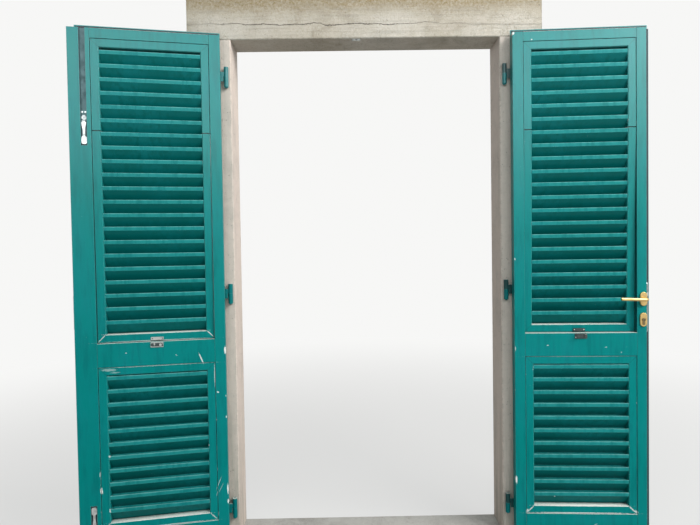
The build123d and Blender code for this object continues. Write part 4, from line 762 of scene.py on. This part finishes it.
def saw_out(piece, place, size, turn=0.0):
    """Cut a box, centred on the place, out of the piece."""
    start_piece()
    bpy.ops.mesh.primitive_cube_add(size=1, location=place, rotation=(0, 0, turn), scale=size)
    saw = bpy.context.object
    cut = piece.modifiers.new("slot", "BOOLEAN")
    cut.operation = "DIFFERENCE"
    cut.object = saw
    bpy.context.view_layer.objects.active = piece
    bpy.ops.object.modifier_apply(modifier=cut.name)
    bpy.data.objects.remove(saw)


def slotted_head(radius, height, slot_turn):
    """Domed screw head with a sawn slot, standing on z = 0."""
    start_piece()
    bpy.ops.mesh.primitive_uv_sphere_add(
        segments=24, ring_count=12, radius=radius, location=(0, 0, 0)
    )
    head = bpy.context.object
    bpy.ops.object.mode_set(mode="EDIT")
    bpy.ops.mesh.select_all(action="SELECT")
    bpy.ops.mesh.bisect(
        plane_co=(0, 0, 0), plane_no=(0, 0, 1), use_fill=True, clear_inner=True
    )
    bpy.ops.mesh.select_all(action="SELECT")
    bpy.ops.transform.resize(value=(1, 1, height / radius), center_override=(0, 0, 0))
    bpy.ops.object.mode_set(mode="OBJECT")
    saw_out(head, (0, 0, height), (radius * 3, radius * 0.26, height * 0.9), slot_turn)
    return head


def screws(name, spots, radius, height, finish):
    """One piece of slotted screws; each spot is a matrix and the turn of its slot."""
    heads = [
        settle(slotted_head(radius, height, turn), name, matrix, finish)
        for matrix, turn in spots
    ]
    start_piece()
    for head in heads:
        head.select_set(True)
    bpy.context.view_layer.objects.active = heads[0]
    bpy.ops.object.join()
    bpy.context.object.name = name
    return bpy.context.object


CATCH_U = 0.334             # middle of the catch, from the hinge axis
SCREW_SPREAD = 0.0215
KEEPER_V, KEEPER_TOP = 0.9585, 0.0531
STUD_V, STUD_TOP = 0.9855, 0.0506
# Each screw of the keeper: its offset along and up, and the turn of its slot. The
# second one stands lower and further out. The stud's two lie level.
KEEPER_SCREWS = ((SCREW_SPREAD, 0.005, 0.4), (-SCREW_SPREAD - 0.003, -0.006, 1.9))
STUD_SCREWS = ((-SCREW_SPREAD, 1.1), (SCREW_SPREAD, 2.5))
KEEPER_HEAD, STUD_HEAD = (0.0032, 0.0017), (0.0030, 0.0016)     # radius, height

for side, finish in (("left", blackened), ("right", zinc)):
    keeper = [
        (on_leaf(side, CATCH_U + across, KEEPER_V + rise, KEEPER_TOP), turn)
        for across, rise, turn in KEEPER_SCREWS
    ]
    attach(screws(f"{side}_keeper_screws", keeper, *KEEPER_HEAD, finish), f"{side}_leaf")
    stud = [
        (on_leaf(side, CATCH_U + across, STUD_V, STUD_TOP, FLAP_TILT[side]), turn)
        for across, turn in STUD_SCREWS
    ]
    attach(screws(f"{side}_stud_screws", stud, *STUD_HEAD, finish), f"{side}_flap")

# Flush bolts: a galvanised channel let into the passive leaf's stile, with a
# case screwed in it, a nickelled lever and a hidden round rod.

GALVANISED, GALVANISED_DULL = (0.050, 0.098, 0.105), (0.028, 0.062, 0.066)
RUBBED_BRIGHT = (0.66, 0.66, 0.65)
CHANNEL_U = 0.6235          # the channel's centre line, from the hinge axis
BOSS_HEIGHTS = (1.975 + 0.017, 0.125 - 0.017)   # beside the levers' pivots

galvanised = metal("galvanised channel", GALVANISED, GALVANISED_DULL, 0.6, 0.3)
nickel = metal("white nickel", (0.56, 0.57, 0.56), (0.22, 0.22, 0.21), 0.7, 0.9)


def boss_metal():
    """The channel's metal, bright where the round bosses are rubbed by the lever."""
    finish = metal("flush-bolt case", GALVANISED, GALVANISED_DULL, 0.6, 0.3)
    tree = finish.node_tree
    worn = next(node for node in tree.nodes if node.type == "GROUP")
    place = leaf_place(tree, "left")
    rubbed = 0.0
    for height in BOSS_HEIGHTS:
        off = vectors(tree, "SUBTRACT", place, (CHANNEL_U, height, 0))
        away = length(tree, vectors(tree, "MULTIPLY", off, (1, 1, 0)))
        rubbed = larger(tree, rubbed, flip(tree, ramp(tree, away, 0.0102, 0.0108)))
    bright = tint(tree, rubbed, (*GALVANISED, 1), (*RUBBED_BRIGHT, 1))
    tree.links.new(bright, worn.inputs["Metal"])
    return finish


dress("flush_bolt_channels", galvanised)
dress("flush_bolt_cases", boss_metal())
dress("flush_bolt_screws", nickel)
for node in ("upper_bolt_lever", "lower_bolt_lever"):
    dress(node, nickel)
for node in ("upper_bolt_rod", "lower_bolt_rod", "bolt_sockets", "strike_plate"):
    dress(node, zinc)

# Lock: a mortise case behind a nickelled faceplate in the active leaf's edge,
# with a brass lever and knob on oval roses and a cylinder in oval escutcheons.

brass = metal("old brass", (0.62, 0.44, 0.18), (0.30, 0.20, 0.08), 0.6)
dark_brass = metal("unpolished brass", (0.22, 0.17, 0.09), (0.10, 0.08, 0.05), 0.6)
for node in ("inside_handle", "outside_knob", "lock_oval_plates"):
    dress(node, brass)
dress("lock_cylinder", dark_brass)
for node in (
    "lock_faceplate", "lock_screws", "lock_case", "latch_bolt", "dead_bolt", "handle_spindle"
):
    dress(node, nickel)

# Cylinder ends: the turned brass plug that shows in each face of the lock
# cylinder, with a keyway sawn across it and, behind it, a dark sheet that is painted shadow for
# the keyway's depth.

CYLINDER_UV = (0.620, 1.034)
CYLINDER_FACES = {"inside": 0.0591, "outside": -0.0041}
PLUG_RADIUS, PLUG_HEIGHT = 0.0062, 0.0022


def key_plug(radius, height):
    """Turned plug with a broken edge and a deep keyway, standing on z = 0."""
    start_piece()
    bpy.ops.mesh.primitive_cylinder_add(
        vertices=40, radius=radius, depth=height, location=(0, 0, height / 2)
    )
    plug = bpy.context.object
    bevel_edges(height * 0.25, 2)
    saw_out(plug, (0, -radius * 0.1, height * 0.8), (radius * 0.32, radius * 1.35, height))
    return plug


def keyway_shadow(radius, height):
    """Dark sheet just below the plug's face, a painted shadow for the depth of the keyway."""
    start_piece()
    bpy.ops.mesh.primitive_cube_add(
        size=1, location=(0, -radius * 0.1, height * 0.28),
        scale=(radius * 0.34, radius * 1.38, height * 0.1),
    )
    bevel_edges(height * 0.02, 1)
    return bpy.context.object


for face, depth in CYLINDER_FACES.items():
    spot = on_leaf("right", *CYLINDER_UV, depth)
    if face == "outside":
        spot = spot @ Matrix.Rotation(pi, 4, "Y")
    plug = settle(key_plug(PLUG_RADIUS, PLUG_HEIGHT), f"{face}_key_plug", spot, dark_brass)
    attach(plug, "right_leaf")
    # the painted shadow inside the keyway, in the blackened finish
    keyway_shade = settle(keyway_shadow(PLUG_RADIUS, PLUG_HEIGHT), f"{face}_keyway", spot, blackened)
    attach(keyway_shade, "right_leaf")

# Floor and light: a pale floor, a strong soft lamp from the upper right as in the
# street, a weak one from the left, a broad cool sky over the street, one behind,
# and an even pale surrounding.

BACKDROP = (0.93, 0.93, 0.92, 1)


def seen_directly(tree):
    """Mask of what the camera sees, by itself or in something glossy or clear."""
    rays = tree.nodes.new("ShaderNodeLightPath").outputs
    seen = larger(tree, rays["Is Camera Ray"], rays["Is Glossy Ray"])
    return larger(tree, seen, rays["Is Transmission Ray"])


start_piece()
bpy.ops.mesh.primitive_plane_add(size=60, location=(0, 0, 0))
floor = bpy.context.object
floor.name = "floor"
floor_finish, tree, shader, place = new_finish("pale floor")
shader.inputs["Base Color"].default_value = (0.42, 0.42, 0.41, 1)
shader.inputs["Roughness"].default_value = 0.9
pale = plus(tree, 0.62, times(tree, ramp(tree, length(tree, place), 1.0, 6.0), 0.38))
seen = times(tree, seen_directly(tree), pale)
backdrop = put(tree, "ShaderNodeEmission", {"Color": BACKDROP, "Strength": 1.0})
both = put(tree, "ShaderNodeMixShader", {
    0: seen, 1: shader.outputs[0], 2: backdrop.outputs[0],
})
output = next(node for node in tree.nodes if node.type == "OUTPUT_MATERIAL")
tree.links.new(both.outputs[0], output.inputs["Surface"])
floor.data.materials.append(floor_finish)


def lamp(name, where, aim, width, height, power, colour=(1, 1, 1)):
    """A soft rectangular lamp in one place, aimed at another, unseen by the camera."""
    light = bpy.data.lights.new(name, "AREA")
    light.shape = "RECTANGLE"
    light.size = width
    light.size_y = height
    light.energy = power
    light.color = colour
    holder = bpy.data.objects.new(name, light)
    bpy.context.scene.collection.objects.link(holder)
    holder.location = where
    holder.visible_camera = False
    holder.rotation_euler = (Vector(aim) - Vector(where)).to_track_quat("-Z", "Y").to_euler()


lamp("sky from the right", (4.7, -3.1, 5.3), (0, 0, 1.5), 3.6, 3.0, 560)
lamp("sky from the left", (-4.5, -5.0, 3.2), (0, 0, 1.2), 3.5, 3.0, 10)
lamp("sky over the street", (0.2, -4.6, 3.6), (0, 0, 2.2), 7.5, 2.2, 185, (0.84, 0.96, 1.0))
lamp("sky behind", (0.0, 4.6, 3.8), (0, 0, 1.3), 6.0, 2.5, 110)

world = bpy.data.worlds.new("pale surrounding")
bpy.context.scene.world = world
world.use_nodes = True
tree = world.node_tree
tree.nodes.clear()
even = put(tree, "ShaderNodeBackground", {"Color": (0.80, 0.83, 0.86, 1), "Strength": 0.13})
plain = put(tree, "ShaderNodeBackground", {"Color": BACKDROP, "Strength": 1.0})
mixed = put(tree, "ShaderNodeMixShader", {
    0: seen_directly(tree), 1: even.outputs[0], 2: plain.outputs[0],
})
put(tree, "ShaderNodeOutputWorld", {"Surface": mixed.outputs[0]})

# Camera: a wide phone lens held at chest height in the street, almost level and
# a little to the left of the doorway's middle.

LENS, SENSOR = 27.04, 36.0                  # millimetres
CAMERA_PLACE = (-0.107, -2.547, 1.430)
CAMERA_TURN = (88.650, 0.880, -0.451)       # degrees

camera_data = bpy.data.cameras.new("street camera")
camera_data.sensor_width = SENSOR
camera_data.lens = LENS
camera = bpy.data.objects.new("street camera", camera_data)
bpy.context.scene.collection.objects.link(camera)
camera.location = CAMERA_PLACE
camera.rotation_euler = [radians(turn) for turn in CAMERA_TURN]
bpy.context.scene.camera = camera

bpy.context.scene.view_settings.view_transform = "Standard"
